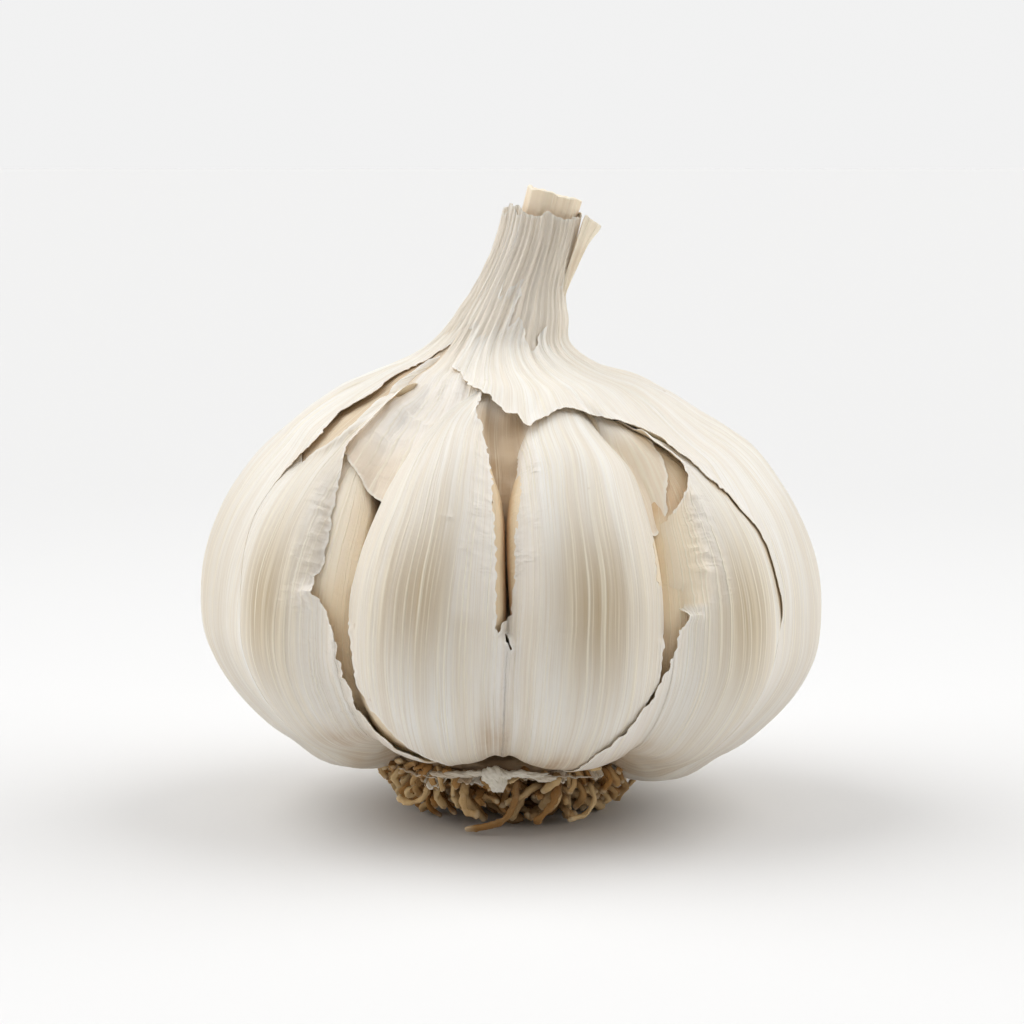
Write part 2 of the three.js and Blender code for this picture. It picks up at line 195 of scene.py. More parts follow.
def pn(x, y, seed=0):
    """Gradient noise in about -1..1."""
    x, y = np.broadcast_arrays(np.asarray(x, float), np.asarray(y, float))
    xi, yi = np.floor(x), np.floor(y)
    xf, yf = x - xi, y - yi
    u = xf ** 3 * (xf * (xf * 6 - 15) + 10)
    v = yf ** 3 * (yf * (yf * 6 - 15) + 10)

    def g(a, b):
        h = _hash(xi + a, yi + b, seed) / 0xFFFFF * 2 * np.pi
        return np.cos(h) * (xf - a) + np.sin(h) * (yf - b)

    n0 = g(0, 0) * (1 - u) + g(1, 0) * u
    n1 = g(0, 1) * (1 - u) + g(1, 1) * u
    return (n0 * (1 - v) + n1 * v) * 1.5


def fbm(x, y, seed=0, octaves=3):
    s, a = 0.0, 1.0
    for o in range(octaves):
        s = s + a * pn(x * 2 ** o + 17.3 * o, y * 2 ** o - 9.1 * o, seed + o)
        a *= 0.5
    return s / 1.6


def ring_pn(th, t, n, seed=0):
    """Noise that closes round the bulb, with about n features round it."""
    r = n / (2 * np.pi)
    a = np.radians(th)
    return pn(np.cos(a) * r + 31.7 + t * 0.6, np.sin(a) * r - 12.9 + t * 0.35, seed)


# ---- where each leaf lies over the smooth outline --------------------------------------------
OFF_OUTER, OFF_SIDE, OFF_FRONT, OFF_INNER, OFF_CLOVE = 0.0, -0.30, -0.35, -0.62, -0.90


def neck_ridge(th, t):
    """The lengthwise folds of the dried leaf bases round the neck."""
    a = np.radians(th)
    w = th + 5.0 * np.sin(t * 0.16 + 1.3) + 3.0 * np.sin(t * 0.33 + a * 2)
    r = 0.34 * np.sin(np.radians(w) * 11) + 0.36 * np.sin(np.radians(w) * 23 + 1.7) + 0.46 * np.sin(np.radians(w) * 47 + 0.4)
    r = np.sign(r) * np.abs(r) ** 1.2
    amp = 0.10 * smooth(50, 61, t) + 0.05 * smooth(38, 50, t)
    return amp * r


def cap_outer(th, t):
    c = 1.0 + 0.55 * ring_pn(th, 0 * t + 3.0, 13, 5)
    c = c * (1 - 0.55 * smooth(44, 52, t)) * (0.5 + 0.5 * smooth(3, 14, t))
    front = smooth(-66, -52, th) * (1 - smooth(34, 50, th))
    return np.maximum(c * (1 - front * smooth(44, 50, t)) + 0.45 * front * smooth(44, 50, t), 0.12)


def h_outer(th, t):
    return soft_max(clove_height(th, t), -cap_outer(th, t), 1.1) + OFF_OUTER


def shoulder(th, t):
    """The left shoulder, where the layers lie close together."""
    return (1 - smooth(-50, -45, th)) * smooth(-90, -80, th) * smooth(40, 45, t)


def h_left(th, t):
    deep = smooth(-44, -40, th) * smooth(27.5, 30, t)
    near = 1 - smooth(-64, -56, th)
    cap = (1.5 + 7.0 * deep) * (1 - near) + cap_outer(th, t) * near
    cap = np.where(cap > 0.35, 0.35 + (cap - 0.35) * (1 - shoulder(th, t)), cap)
    return soft_max(clove_height(th, t), -cap, 0.6 + 0.5 * near) + OFF_SIDE


def h_right(th, t):
    deep = (1 - smooth(33, 38, th)) * smooth(28.0, 31, t)
    near = smooth(53, 61, th)
    cap = (1.5 + 1.7 * deep) * (1 - near) + cap_outer(th, t) * near
    return soft_max(clove_height(th, t), -cap, 0.6 + 0.5 * near) + OFF_SIDE


def h_front(th, t):
    cap = 1.45 + 8.0 * smooth(25.4, 29.3, t)
    return soft_max(clove_height(th, t), -cap, 0.5) + OFF_FRONT


def h_inner(th, t):
    pocket = smooth(-13, -9, th) * (1 - smooth(2, 6, th))
    cap = 1.3 * (1 - pocket) + pocket * (1.0 + 1.3 * smooth(54, 46, t) + 1.6 * smooth(46, 38, t))
    dip = smooth(-40, -33, th) * (1 - smooth(-22, -16, th)) * (1 - smooth(44, 50, t))
    cap = cap + 0.45 * dip
    right = smooth(22, 27, th) * (1 - smooth(36, 40, th)) * (1 - smooth(42, 48, t))
    cap = cap + 0.7 * right
    cap = cap * (1 - shoulder(th, t)) + 0.42 * shoulder(th, t)
    up = smooth(50, 57, t)
    cap = cap * (1 - up) + 0.02 * up
    h = soft_max(clove_height(th, t), -cap, 0.6)
    # between the front cloves it hangs straight, behind their drawn-apart sides
    lo, hi = slit(t)
    gap = np.clip(1 - np.maximum(np.maximum(lo - 0.5 - th, th - hi - 0.5), 0) / 1.6, 0, 1) * (1 - smooth(45.5, 48.5, t))
    drop = np.interp(t, [34, 38, 42, 46, 50], [5.0, 4.5, 3.6, 2.6, 1.8])
    h = h * (1 - gap) + np.minimum(h, -drop) * gap
    return h + OFF_INNER + 0.34 * smooth(59, 65, t)


def slit(t):
    """The left and right side, in degrees, of the gap between the two front cloves: a V that closes to a slit."""
    return (np.interp(t, [22, 27.9, 29.9, 33.1, 35.8, 38.2, 40.7, 42.9, 45.4, 47.5], [-0.9, -1.15, -1.35, -1.75, -2.1, -2.45, -3.6, -5.6, -7.4, -9.5]),
            np.interp(t, [22, 27.9, 29.9, 33.1, 35.8, 38.2, 40.7, 42.9, 45.4, 47.5], [-0.6, -0.30, -0.75, -1.35, -1.80, -2.05, -1.8, -1.0, 0.7, 2.6]))


# ---- outlines and distances --------------------------------------------------------------------
def seg_dist(th, t, line, closed=False):
    """Distance in mm over the surface to a line of (azimuth, arc length) points."""
    L = np.asarray(line, float)
    if closed:
        L = np.vstack([L, L[:1]])
    k = np.radians(1) * np.maximum(prof(t)[0], 2.0)
    best = np.full(np.shape(th), 1e9)
    for (a0, b0), (a1, b1) in zip(L[:-1], L[1:]):
        px, py = wrap(th - a0) * k, t - b0
        dx, dy = (a1 - a0) * k, (b1 - b0) + 0 * k
        q = np.clip((px * dx + py * dy) / np.maximum(dx * dx + dy * dy, 1e-9), 0, 1)
        best = np.minimum(best, np.hypot(px - q * dx, py - q * dy))
    return best


def inside(th, t, poly):
    """Signed distance to a closed outline, positive inside it."""
    P = np.asarray(poly, float)
    x, y = wrap(np.asarray(th, float)), np.asarray(t, float)
    hit = np.zeros(np.shape(x), bool)
    n = len(P)
    for i in range(n):
        (x0, y0), (x1, y1) = P[i], P[(i + 1) % n]
        if y0 == y1:
            continue
        c = ((y0 > y) != (y1 > y)) & (x < (x1 - x0) * (y - y0) / (y1 - y0) + x0)
        hit ^= c
    d = seg_dist(x, y, P, closed=True)
    return np.where(hit, d, -d)


def jag(th, t, amp=0.3, size=1.4, seed=3):
    """The uneven line along which thin skin tears: long slow wander, short steps and fine teeth."""
    k = np.radians(1) * np.maximum(prof(t)[0], 4.0)
    x, y = th * k, t
    a = fbm(x / (size * 2.6), y / (size * 2.6), seed, 2) * 0.9
    b = pn(x / size, y / size, seed + 5)
    c = pn(x / (size * 0.42), y / (size * 0.42), seed + 9)
    return amp * (a + 0.75 * np.sign(b) * np.abs(b) ** 0.6 + 0.45 * np.sign(c) * np.abs(c) ** 0.7)


def fine_teeth(seed, amp=0.10, calm=None):
    """Short sharp notches for a torn rim, a third to half a millimetre long."""
    def fn(th, t):
        k = np.radians(1) * np.maximum(prof(t)[0], 4.0)
        x = th * k
        a = pn(x / 0.62, t / 0.62, seed)
        b = pn(x / 0.34, t / 0.34, seed + 1)
        v = amp * (1.0 * np.sign(a) * np.abs(a) ** 0.6 + 0.55 * b)
        return v * (1 - calm(th, t)) if calm is not None else v
    return fn


# ---- mesh making ---------------------------------------------------------------------------------
def new_object(name, verts, faces, attrs=None, uv=None, sharp=42.0, weld=False):
    """verts in mm. attrs: name -> one number a vertex. uv: face corner list of (across, along) pairs."""
    me = bpy.data.meshes.new(name)
    v = np.asarray(verts, float) * 0.001
    me.from_pydata(v.tolist(), [], faces)
    if attrs:
        for k, a in attrs.items():
            d = me.attributes.new(k, "FLOAT", "POINT")
            d.data.foreach_set("value", np.asarray(a, np.float32))
    if uv is not None:
        lay = me.uv_layers.new(name="grain")
        lay.data.foreach_set("uv", np.asarray(uv, np.float32).ravel())
    me.shade_smooth()
    if sharp:
        me.set_sharp_from_angle(angle=math.radians(sharp))
    ob = bpy.data.objects.new(name, me)
    bpy.context.scene.collection.objects.link(ob)
    return ob


def v_normals(V, faces):
    T = np.array([(f[0], f[i], f[i + 1]) for f in faces for i in range(1, len(f) - 1)])
    n = np.cross(V[T[:, 1]] - V[T[:, 0]], V[T[:, 2]] - V[T[:, 0]])
    out = np.zeros_like(V)
    for i in range(3):
        np.add.at(out, T[:, i], n)
    return out / np.maximum(np.linalg.norm(out, axis=1), 1e-12)[:, None]


def sheet_mesh(P, f, thick, attrs=None, uv=None, closed=False, period=0.0, snap=0.05, rim=0.4, least=3.0, teeth=None, sub=3, band=0.42):
    """A thin closed leaf from a grid of outside points P (rows x cols x 3).

    f is the signed distance to the torn outline (positive on the leaf): the grid is cut along f = 0. The leaf is given
    thickness towards the inside, thinner at its torn rim, with a wall round every edge. With teeth = (azimuth, arc
    length, function), the cells by the outline are made sub times finer and the function's value is added to f there.
    Returns verts, faces, attrs, corner uvs.
    """
    rows, cols = f.shape
    names = list((attrs or {}).keys())
    A = [np.asarray(a, float) for a in (attrs or {}).values()]
    if teeth is not None:
        A += [np.asarray(teeth[0], float), np.asarray(teeth[1], float)]
    if closed:      # the seam column is made twice and welded afterwards
        P = np.concatenate([P, P[:, :1]], 1)
        f = np.concatenate([f, f[:, :1]], 1)
        A = [np.concatenate([a, a[:, :1]], 1) for a in A]
        if uv is not None:
            last = uv[:, :1].copy()
            last[..., 0] += period
            uv = np.concatenate([uv, last], 1)
        cols += 1
    th_ = thick if np.ndim(thick) else np.full((rows, cols), thick)
    if th_.shape[1] != cols:
        th_ = np.concatenate([th_, th_[:, :1]], 1)
    if teeth is not None:
        f = f + np.where(np.abs(f) < band + 0.2, teeth[2](A[-2], A[-1]), 0.0)
    f = np.where(np.abs(f) < snap * (0.4 if teeth is not None else 1.0), 0.0, f)
    data = np.concatenate([P.reshape(-1, 3), f.reshape(-1, 1), th_.reshape(-1, 1),
                           (uv if uv is not None else np.zeros((rows, cols, 2))).reshape(-1, 2)] +
                          [a.reshape(-1, 1) for a in A], 1)
    idx = np.arange(rows * cols).reshape(rows, cols)
    a, b, c, d = idx[:-1, :-1], idx[:-1, 1:], idx[1:, 1:], idx[1:, :-1]
    q = np.stack([a, b, c, d], -1).reshape(-1, 4)
    s = data[:, 3][q]
    canon = idx.copy()
    if closed:
        canon[:, -1] = canon[:, 0]
    canon = canon.ravel()
    if teeth is None:
        near = np.zeros(len(q), bool)
    else:
        near = (np.abs(s).min(1) < band) | ((s.min(1) < 0) & (s.max(1) > 0))
    new_rows, tag = [], {}
    base0 = len(data)

    def between(i, j, m):
        """The m-th of the sub - 1 points between corners i and j."""
        if m == 0:
            return i
        if m == sub:
            return j
        k, mm = ((i, j), m) if i < j else ((j, i), sub - m)
        if (k, mm) not in tag:
            u = mm / sub
            new_rows.append(data[k[0]] * (1 - u) + data[k[1]] * u)
            tag[(k, mm)] = base0 + len(new_rows) - 1
        return tag[(k, mm)]

    small, faces = [], []
    ring_edges = set()
    for quad in q[near].tolist():
        for m in range(4):
            i, j = canon[quad[m]], canon[quad[(m + 1) % 4]]
            ring_edges.add((min(i, j), max(i, j)))
        i0, i1, i2, i3 = quad
        grid = [[None] * (sub + 1) for _ in range(sub + 1)]
        for m in range(sub + 1):
            grid[0][m] = between(i0, i1, m)
            grid[sub][m] = between(i3, i2, m)
            grid[m][0] = between(i0, i3, m)
            grid[m][sub] = between(i1, i2, m)
        for r in range(1, sub):
            for m in range(1, sub):
                u, v = m / sub, r / sub
                new_rows.append(data[i0] * (1 - u) * (1 - v) + data[i1] * u * (1 - v) + data[i2] * u * v + data[i3] * (1 - u) * v)
                grid[r][m] = base0 + len(new_rows) - 1
        for r in range(sub):
            for m in range(sub):
                small.append((grid[r][m], grid[r][m + 1], grid[r + 1][m + 1], grid[r + 1][m]))
    far = ~near & (s >= 0).all(1) & (s > 0).any(1)
    for quad in q[far].tolist():
        poly = []
        for m in range(4):
            i, j = quad[m], quad[(m + 1) % 4]
            poly.append(i)
            ci, cj = canon[i], canon[j]
            if (min(ci, cj), max(ci, cj)) in ring_edges:
                poly += [between(i, j, n) for n in range(1, sub)]
        faces.append(tuple(poly))
    if new_rows:
        R = np.array(new_rows)
        th_f, t_f = R[:, -2], R[:, -1]
        # the coarse distance there, without the coarse grid's own teeth, then the fine ones
        R[:, 3] = R[:, 3] + 0.75 * (teeth[2](th_f, t_f) - 0.0) * np.exp(-(R[:, 3] / 0.5) ** 2)
        R[:, 3] = np.where(np.abs(R[:, 3]) < 0.012, 0.0, R[:, 3])
        data = np.vstack([data, R])
    q = np.vstack([q[~near & ~far], np.array(small, int).reshape(-1, 4)]) if len(small) else q[~near & ~far]
    F = data[:, 3]
    s = F[q]
    whole = (s >= 0).all(1) & (s > 0).any(1)
    part = ~whole & (s > 0).any(1)
    faces += [tuple(x) for x in q[whole].tolist()]
    extra, cache = [], {}
    base = len(data)

    def cross(i, j):
        k = (i, j) if i < j else (j, i)
        if k not in cache:
            u = F[k[0]] / (F[k[0]] - F[k[1]])
            row = data[k[0]] * (1 - u) + data[k[1]] * u
            row[3] = 0.0
            extra.append(row)
            cache[k] = base + len(extra) - 1
        return cache[k]

    for quad in q[part].tolist():
        i0, i1, i2, i3 = quad
        # the cut runs better across the shorter diagonal
        d02 = ((data[i0, :3] - data[i2, :3]) ** 2).sum()
        d13 = ((data[i1, :3] - data[i3, :3]) ** 2).sum()
        tris = ((i0, i1, i2), (i0, i2, i3)) if d02 <= d13 else ((i0, i1, i3), (i1, i2, i3))
        for tri in tris:
            out = []
            for m in range(3):
                i, j = tri[m], tri[(m + 1) % 3]
                if F[i] >= 0:
                    out.append(i)
                if (F[i] > 0 > F[j]) or (F[i] < 0 < F[j]):
                    out.append(cross(i, j))
            if len(out) >= 3 and max(F[m] for m in tri) > 0:
                faces.append(tuple(out))
    if extra:
        data = np.vstack([data, np.array(extra)])
    # weld by place, drop what no face uses
    key = np.round(data[:, :3] / 1e-4).astype(np.int64)
    _, first, inv = np.unique(key, axis=0, return_index=True, return_inverse=True)
    inv = inv.ravel()
    keep_faces, corner = [], []
    for fc in faces:
        w = [int(inv[i]) for i in fc]
        ok = [m for m in range(len(w)) if w[m] != w[m - 1]]
        if len(ok) < 3:
            continue
        keep_faces.append([w[m] for m in ok])
        corner.append([fc[m] for m in ok])
    keep_faces, corner = biggest_parts(keep_faces, corner, data[first][:, :3], least)
    used = np.unique(np.concatenate([np.array(x) for x in keep_faces]))
    remap = -np.ones(len(first), int)
    remap[used] = np.arange(len(used))
    W = data[first][used]
    faces = [[int(remap[i]) for i in fc] for fc in keep_faces]
    n = len(W)
    V = W[:, :3]
    N = v_normals(V, faces)
    taper = rim + (1 - rim) * smooth(0.0, 0.9, W[:, 3])
    inner = V - N * (W[:, 4] * taper)[:, None]
    edges = {}
    for fc, cr in zip(faces, corner):
        m = len(fc)
        for i in range(m):
            e = (fc[i], fc[(i + 1) % m])
            if (e[1], e[0]) in edges:
                edges[(e[1], e[0])] = None
            else:
                edges[e] = (cr[i], cr[(i + 1) % m])
    allf = [tuple(x) for x in faces]
    luv = [data[cr][:, 5:7] for cr in corner]
    for fc, cr in zip(faces, corner):
        allf.append(tuple(i + n for i in reversed(fc)))
        luv.append(data[cr[::-1]][:, 5:7])
    for (i, j), cr in edges.items():
        if cr is None:
            continue
        allf.append((j, i, i + n, j + n))
        u = data[[cr[1], cr[0], cr[0], cr[1]]][:, 5:7]
        luv.append(u)
    at = {nm: np.concatenate([W[:, 7 + i], W[:, 7 + i]]) for i, nm in enumerate(names)}
    at["edge"] = np.concatenate([W[:, 3], W[:, 3]])
    at["inner"] = np.concatenate([np.zeros(n), np.ones(n)])
    return np.vstack([V, inner]), allf, at, np.vstack(luv)


def biggest_parts(faces, corner, V, least=3.0):
    """Leaves out crumbs of skin that the cut frees: connected parts under `least` square mm."""
    parent = {}

    def find(i):
        while parent.setdefault(i, i) != i:
            parent[i] = parent[parent[i]]
            i = parent[i]
        return i

    for fc in faces:
        r = find(fc[0])
        for i in fc[1:]:
            parent[find(i)] = r
    area = {}
    own = []
    for fc in faces:
        r = find(fc[0])
        own.append(r)
        p = V[fc]
        a = 0.5 * np.linalg.norm(np.cross(p[1] - p[0], p[2] - p[0]))
        area[r] = area.get(r, 0) + a * (1 if len(fc) == 3 else 2)
    good = [i for i, r in enumerate(own) if area[r] >= least]
    return [faces[i] for i in good], [corner[i] for i in good]


def tube_mesh(path, rad, sides=8, flat=None, up=None, cap=True, twist=0.0):
    """A closed tube round a path; rad is one radius a point, or (width, height) half sizes a point. flat is not used.
    """
    path = np.asarray(path, float)
    n = len(path)
    T = np.gradient(path, axis=0)
    T /= np.maximum(np.linalg.norm(T, axis=1), 1e-9)[:, None]
    u = np.array(up if up is not None else (0.3, 0.2, 1.0), float)
    A = np.zeros((n, 3))
    for i in range(n):
        ui = u if up is None or np.ndim(up) == 1 else up[i]
        a = ui - T[i] * (ui @ T[i])
        if np.linalg.norm(a) < 1e-3:
            a = np.array([1.0, 0, 0]) - T[i] * T[i][0]
        a /= np.linalg.norm(a)
        A[i] = a
        if up is None or np.ndim(up) == 1:
            u = a
    B = np.cross(T, A)
    rad = np.asarray(rad, float)
    ra, rb = (rad[:, 0], rad[:, 1]) if rad.ndim == 2 else (rad, rad)
    ang = np.linspace(0, 2 * np.pi, sides, endpoint=False)[None, :] + (twist * np.linspace(0, 1, n))[:, None]
    ring = path[:, None] + A[:, None] * (np.cos(ang) * rb[:, None])[..., None] + B[:, None] * (np.sin(ang) * ra[:, None])[..., None]
    V = ring.reshape(-1, 3)
    F = []
    for i in range(n - 1):
        for j in range(sides):
            k = (j + 1) % sides
            F.append((i * sides + j, (i + 1) * sides + j, (i + 1) * sides + k, i * sides + k))
    if cap:
        V = np.vstack([V, path[0] - T[0] * 0.25 * ra[0], path[-1] + T[-1] * 0.25 * ra[-1]])
        p, e = n * sides, n * sides + 1
        for j in range(sides):
            k = (j + 1) % sides
            F.append((p, j, k))
            F.append((e, (n - 1) * sides + k, (n - 1) * sides + j))
    return V, F, ring


def merge(parts):
    V, F, base = [], [], 0
    for v, f in parts:
        V.append(v)
        F += [tuple(i + base for i in x) for x in f]
        base += len(v)
    return np.vstack(V), F
def rungs(th, t, line, seed, gap=1.0, wide=1.0):
    """A ladder of short sharp wrinkles across the skin, along a line given as (t, azimuth)."""
    rng = np.random.default_rng(seed)
    q = np.array(line, float)
    x = (th - np.interp(t, q[:, 0], q[:, 1])) * np.radians(1) * np.maximum(prof(t)[0], 4)
    out = 0 * t
    c = q[0, 0] - 0.4
    while c < q[-1, 0] + 0.4:
        xo, hw, sl, bow, a = rng.normal(0, 0.28), rng.uniform(0.5, 1.15) * wide, rng.uniform(-0.22, 0.22), rng.uniform(-0.10, 0.16), rng.uniform(0.5, 1.0)
        d = (t - c - sl * (x - xo) + bow * (x - xo) ** 2) / 0.24
        out = np.maximum(out, a * np.exp(-np.abs(d) ** 1.4) * np.exp(-((x - xo) / hw) ** 4))
        c += rng.uniform(0.62, 1.4) * gap
    return out




# ---- outlines of the leaves: (azimuth, arc length) ----------------------------------------------
FRONT_LEAF = [(-15.0, 53.8), (-20, 53.0), (-28, 50), (-36, 44), (-38, 36), (-36, 31), (-31.9, 29.6), (-32.3, 26.9), (-30.9, 25.6), (-29.9, 24.4),
    (-29.3, 22.1), (-29.1, 19.8), (-28.3, 19.0), (-27.2, 18.3), (-26.9, 17.3), (-25.4, 17.2), (-24.1, 16.2), (-21.1, 14.1), (-17.3, 12.2), (-14.8, 11.2),
    (-13.5, 8), (-13, 4), (-13, -4), (16, -4), (16.5, 4), (17.0, 9), (18.5, 12.3), (22.6, 15.4), (25.6, 18.6), (28.2, 21.6), (28.4, 23.6),
    (28.6, 25.9), (31.5, 28.6), (36, 31), (40, 37), (40, 44), (34, 50), (26, 56), (8.0, 56.5), (2.8, 52), (1.8, 47.6), (0.0, 44.7), (-0.5, 42.3), (0.1, 38.1),
    (-0.1, 35.5), (0.2, 32.7), (-0.1, 30.2), (-0.2, 28.4), (-0.9, 27.8), (-1.9, 27.0), (-2.0, 26.4), (-2.9, 26.3), (-3.1, 29.6), (-3.3, 31.5), (-3.5, 33.4),
    (-3.7, 34.9), (-4.4, 37.3), (-5.0, 39.4), (-5.8, 41.6), (-6.8, 43.7), (-7.8, 45.9), (-8.6, 47.4), (-8.4, 48.5), (-10.3, 49.2), (-11.4, 50.2),
    (-11.0, 51.4), (-11.2, 52.9), (-13.2, 54.2)]
CRACK_SMALL = [(-1.1, 26.3), (-0.6, 25.8), (0.0, 25.0)]
LEFT_LEAF = [(-40.0, 63.2), (-43.2, 61.3), (-44.8, 59.5), (-45.4, 57.1), (-43.4, 53.4), (-41.9, 50.9), (-42.0, 49.5), (-42.4, 47.0), (-43.2, 44.4), (-43.8, 43.1), (-42.0, 40.8), (-40.8, 38.9), (-39.8, 36.9),
    (-38.8, 34.1), (-38.0, 31.5), (-38.7, 30.4), (-38.2, 28.7), (-36.6, 27.5), (-34.7, 25.9), (-33.0, 24.3), (-32.5, 22.9), (-32.2, 21.2), (-31.0, 19.2),
    (-31.2, 17.5), (-30.0, 15.8), (-27.0, 13.9), (-22.5, 12.4), (-17.6, 11.3), (-15.0, 8.5), (-14.2, 4), (-14.0, -4), (-80, -4), (-80, 26), (-74, 36),
    (-69, 41), (-65, 43.0), (-60.5, 41.2), (-57.2, 41.4), (-53.5, 41.9), (-50.0, 42.6), (-47.4, 44.1), (-46.7, 46.3), (-46.6, 48.7), (-48.2, 51.2), (-50.4, 53.3), (-50.8, 55.2),
    (-51.0, 57.5), (-50.8, 59.7), (-50.0, 61.3), (-48.6, 62.6), (-44, 63.8)]
RIGHT_LEAF = [(33.5, 50.5), (35.1, 48.0), (35.8, 45.3), (37.7, 43.9), (39.2, 42.6), (38.9, 41.2), (37.6, 40.1), (35.8, 39.0), (33.4, 37.9), (30.5, 36.8), (28.6, 35.5), (28.0, 32.5), (28.2, 30.3), (30.2, 29.6),
    (32.2, 29.0), (33.1, 28.3), (31.7, 26.6), (31.4, 25.1), (30.5, 24.2), (29.5, 22.7), (27.8, 21.4), (27.1, 20.1), (24.4, 18.4), (23.6, 17.5), (21.4, 15.7),
    (17.4, 12.9), (15.8, 9), (15.0, 4), (15.0, -4), (80, -4), (80, 26), (70, 36), (60, 43), (50, 49), (42, 54)]
OUTER_OPENING = [(-36.1, 63.3), (-33.3, 62.5), (-31.3, 61.1), (-35.5, 59.9), (-31.1, 58.0), (-25.5, 57.3), (-20.3, 55.3), (-16.4, 54.1), (-10.8, 52.7),
    (-7.8, 52.4), (-4.3, 50.9), (-2.8, 49.9), (-0.7, 50.1), (1.1, 50.0), (1.9, 49.1), (2.3, 48.4), (4.7, 48.2), (9.6, 49.3), (14.8, 50.2), (24.1, 50.1),
    (28.5, 49.1), (33.2, 48.2), (36.6, 47.5), (39.9, 46.7), (39.8, 45.3), (40.6, 43.9), (42.2, 43.2), (43.9, 42.2), (45.6, 41.1), (48.9, 40.0), (51.3, 39.5),
    (52.8, 38.4), (55.9, 37.1), (58.4, 35.7), (58.9, 34.2), (59.1, 32.0), (59.3, 29.4), (60.2, 27.1), (58.2, 24), (56, 20), (54.5, 14), (54, 8), (54, 3), (54, -5),
    (-57, -5), (-57, 3), (-57, 9), (-57.5, 16), (-58.6, 24.0), (-60.6, 28), (-63.6, 31.6), (-65.2, 34.4), (-64.3, 38.0), (-61.5, 41.5), (-57.5, 44.4),
    (-60.3, 47.9), (-58.3, 49.3), (-56.0, 51.5), (-59.4, 55.4), (-57.0, 58.4), (-53.2, 59.6), (-47.4, 61.9), (-42, 62.6)]
NECK_OPENING = [(-20.5, 66.4), (-14.5, 66.9), (-9.5, 67.3), (-4.0, 67.8), (-1.1, 68.3), (2.0, 66.4), (-0.6, 64.6), (-0.4, 63.2), (3.1, 63.9), (7.0, 64.6), (11.5, 64.1), (16, 62.9),
    (19.6, 61.6), (24.0, 61.2), (28.9, 61.7), (34, 63.0), (41.8, 63.6), (50.7, 64.4), (62, 66.5), (70, 70), (74, 74), (78, 84), (-33, 84), (-31.0, 76.0), (-28.5, 73),
    (-26.5, 70.5), (-24.5, 68.5)]
INNER_LEAF = [(-78, 84), (-78, 50), (-72, 42), (-62, 39), (-52, 40.5), (-46.0, 42.6), (-44.2, 42.6), (-40.7, 41.6), (-37.8, 40.7), (-35.2, 39.8), (-31.0, 38.8), (-26, 39.4), (-20, 42.0), (-14, 43.5),
    (-10.5, 44.0), (-8.2, 43.2), (-5.2, 40.2), (-3.9, 37.0), (-3.6, 34.4), (-0.6, 34.4), (-0.4, 38.0), (0.4, 41.4), (2.0, 43.4), (8, 44.0), (20, 43.5), (25, 38.5), (30.5, 36.2), (33.6, 38.6), (35.0, 40.6), (36.4, 42.6),
    (37.4, 45.4), (40, 48), (52, 50), (62, 56), (62, 84)]


def lobe_grid(spec, t):
    """Columns that follow the backs of neighbouring cloves: dense where the surface turns down into a valley.

    spec is a list of (clove, from angle, to angle, columns); an angle of 90 is the clove's limb. Returns azimuths,
    the depth below the limb for columns past it, and the across coordinate, each rows x columns.
    """
    T, DEEP, U = [], [], []
    R = prof(t)[0]
    for m, (k, a0, a1, n) in enumerate(spec):
        c, w = clove_cw(k, t)
        h = np.degrees(w / R)
        ang = np.linspace(a0, a1, n, endpoint=(m == len(spec) - 1))
        lo, hi = c - h, c + h
        if m > 0 and spec[m - 1][0] != k and a0 <= -89:      # from the valley it shares with the clove before
            c2, w2 = clove_cw(spec[m - 1][0], t)
            c2 = c + wrap(c2 - c)
            lo = 0.5 * (lo + c2 + np.degrees(w2 / R))
        if m + 1 < len(spec) and spec[m + 1][0] != k and a1 >= 89:
            c2, w2 = clove_cw(spec[m + 1][0], t)
            c2 = c + wrap(c2 - c)
            hi = 0.5 * (hi + c2 - np.degrees(w2 / R))
        for a in ang:
            s = math.sin(math.radians(a))
            past = max(abs(a) - 90, 0)
            T.append(c + (hi - c) * s if a >= 0 else c - (c - lo) * (-s))
            DEEP.append(w * KAPPA * math.radians(past) * 1.6)
            U.append(np.full(len(t), math.radians(a) * 8.0 + 40.0 * k))
    return np.stack(T, 1), np.stack(DEEP, 1), np.stack(U, 1)


def wobble(th, t):
    """The slow unevenness that every leaf shares, so that the layers never cross."""
    return (0.13 * ring_pn(th, t * 0.10, 26, 21) + 0.06 * ring_pn(th, t * 0.22, 70, 22)) * smooth(0, 8, t) * (1 - 0.6 * smooth(50, 58, t))


def streaks(u, t, seed=40):
    """Fine lengthwise ribs of a dried leaf, constant along its veins."""
    return 0.6 * pn(u * 0.9, t * 0.03, seed) + 0.4 * pn(u * 2.1, t * 0.05, seed + 1)


def crinkle(x, t, seed=60):
    """Short folds across the veins, where thin skin has shrunk."""
    w = 0.5 * pn(x * 0.5, t * 0.4, seed + 3)
    a = np.clip(1 - 3.2 * np.abs(pn(x * 0.24, t * 0.85 + w, seed)), 0, 1) ** 1.6
    b = np.clip(1 - 3.0 * np.abs(pn(x * 0.45, t * 1.6 - w, seed + 1)), 0, 1) ** 1.5
    return a + 0.45 * b - 0.3


def dense(*runs):
    """Row positions from (from, to, step) runs."""
    return np.concatenate([np.arange(a, b - 1e-6, s) for a, b, s in runs])


def belly_shade(th, t, k, wide=9.5, mid=29.0, tall=9.0):
    """Where painted shade goes over clove k: the middle of its skin, which faces forward and gets the least light."""
    c, w = clove_cw(k, t)
    return np.exp(-(wrap(th - c) / wide) ** 2 - ((t - mid) / tall) ** 2)


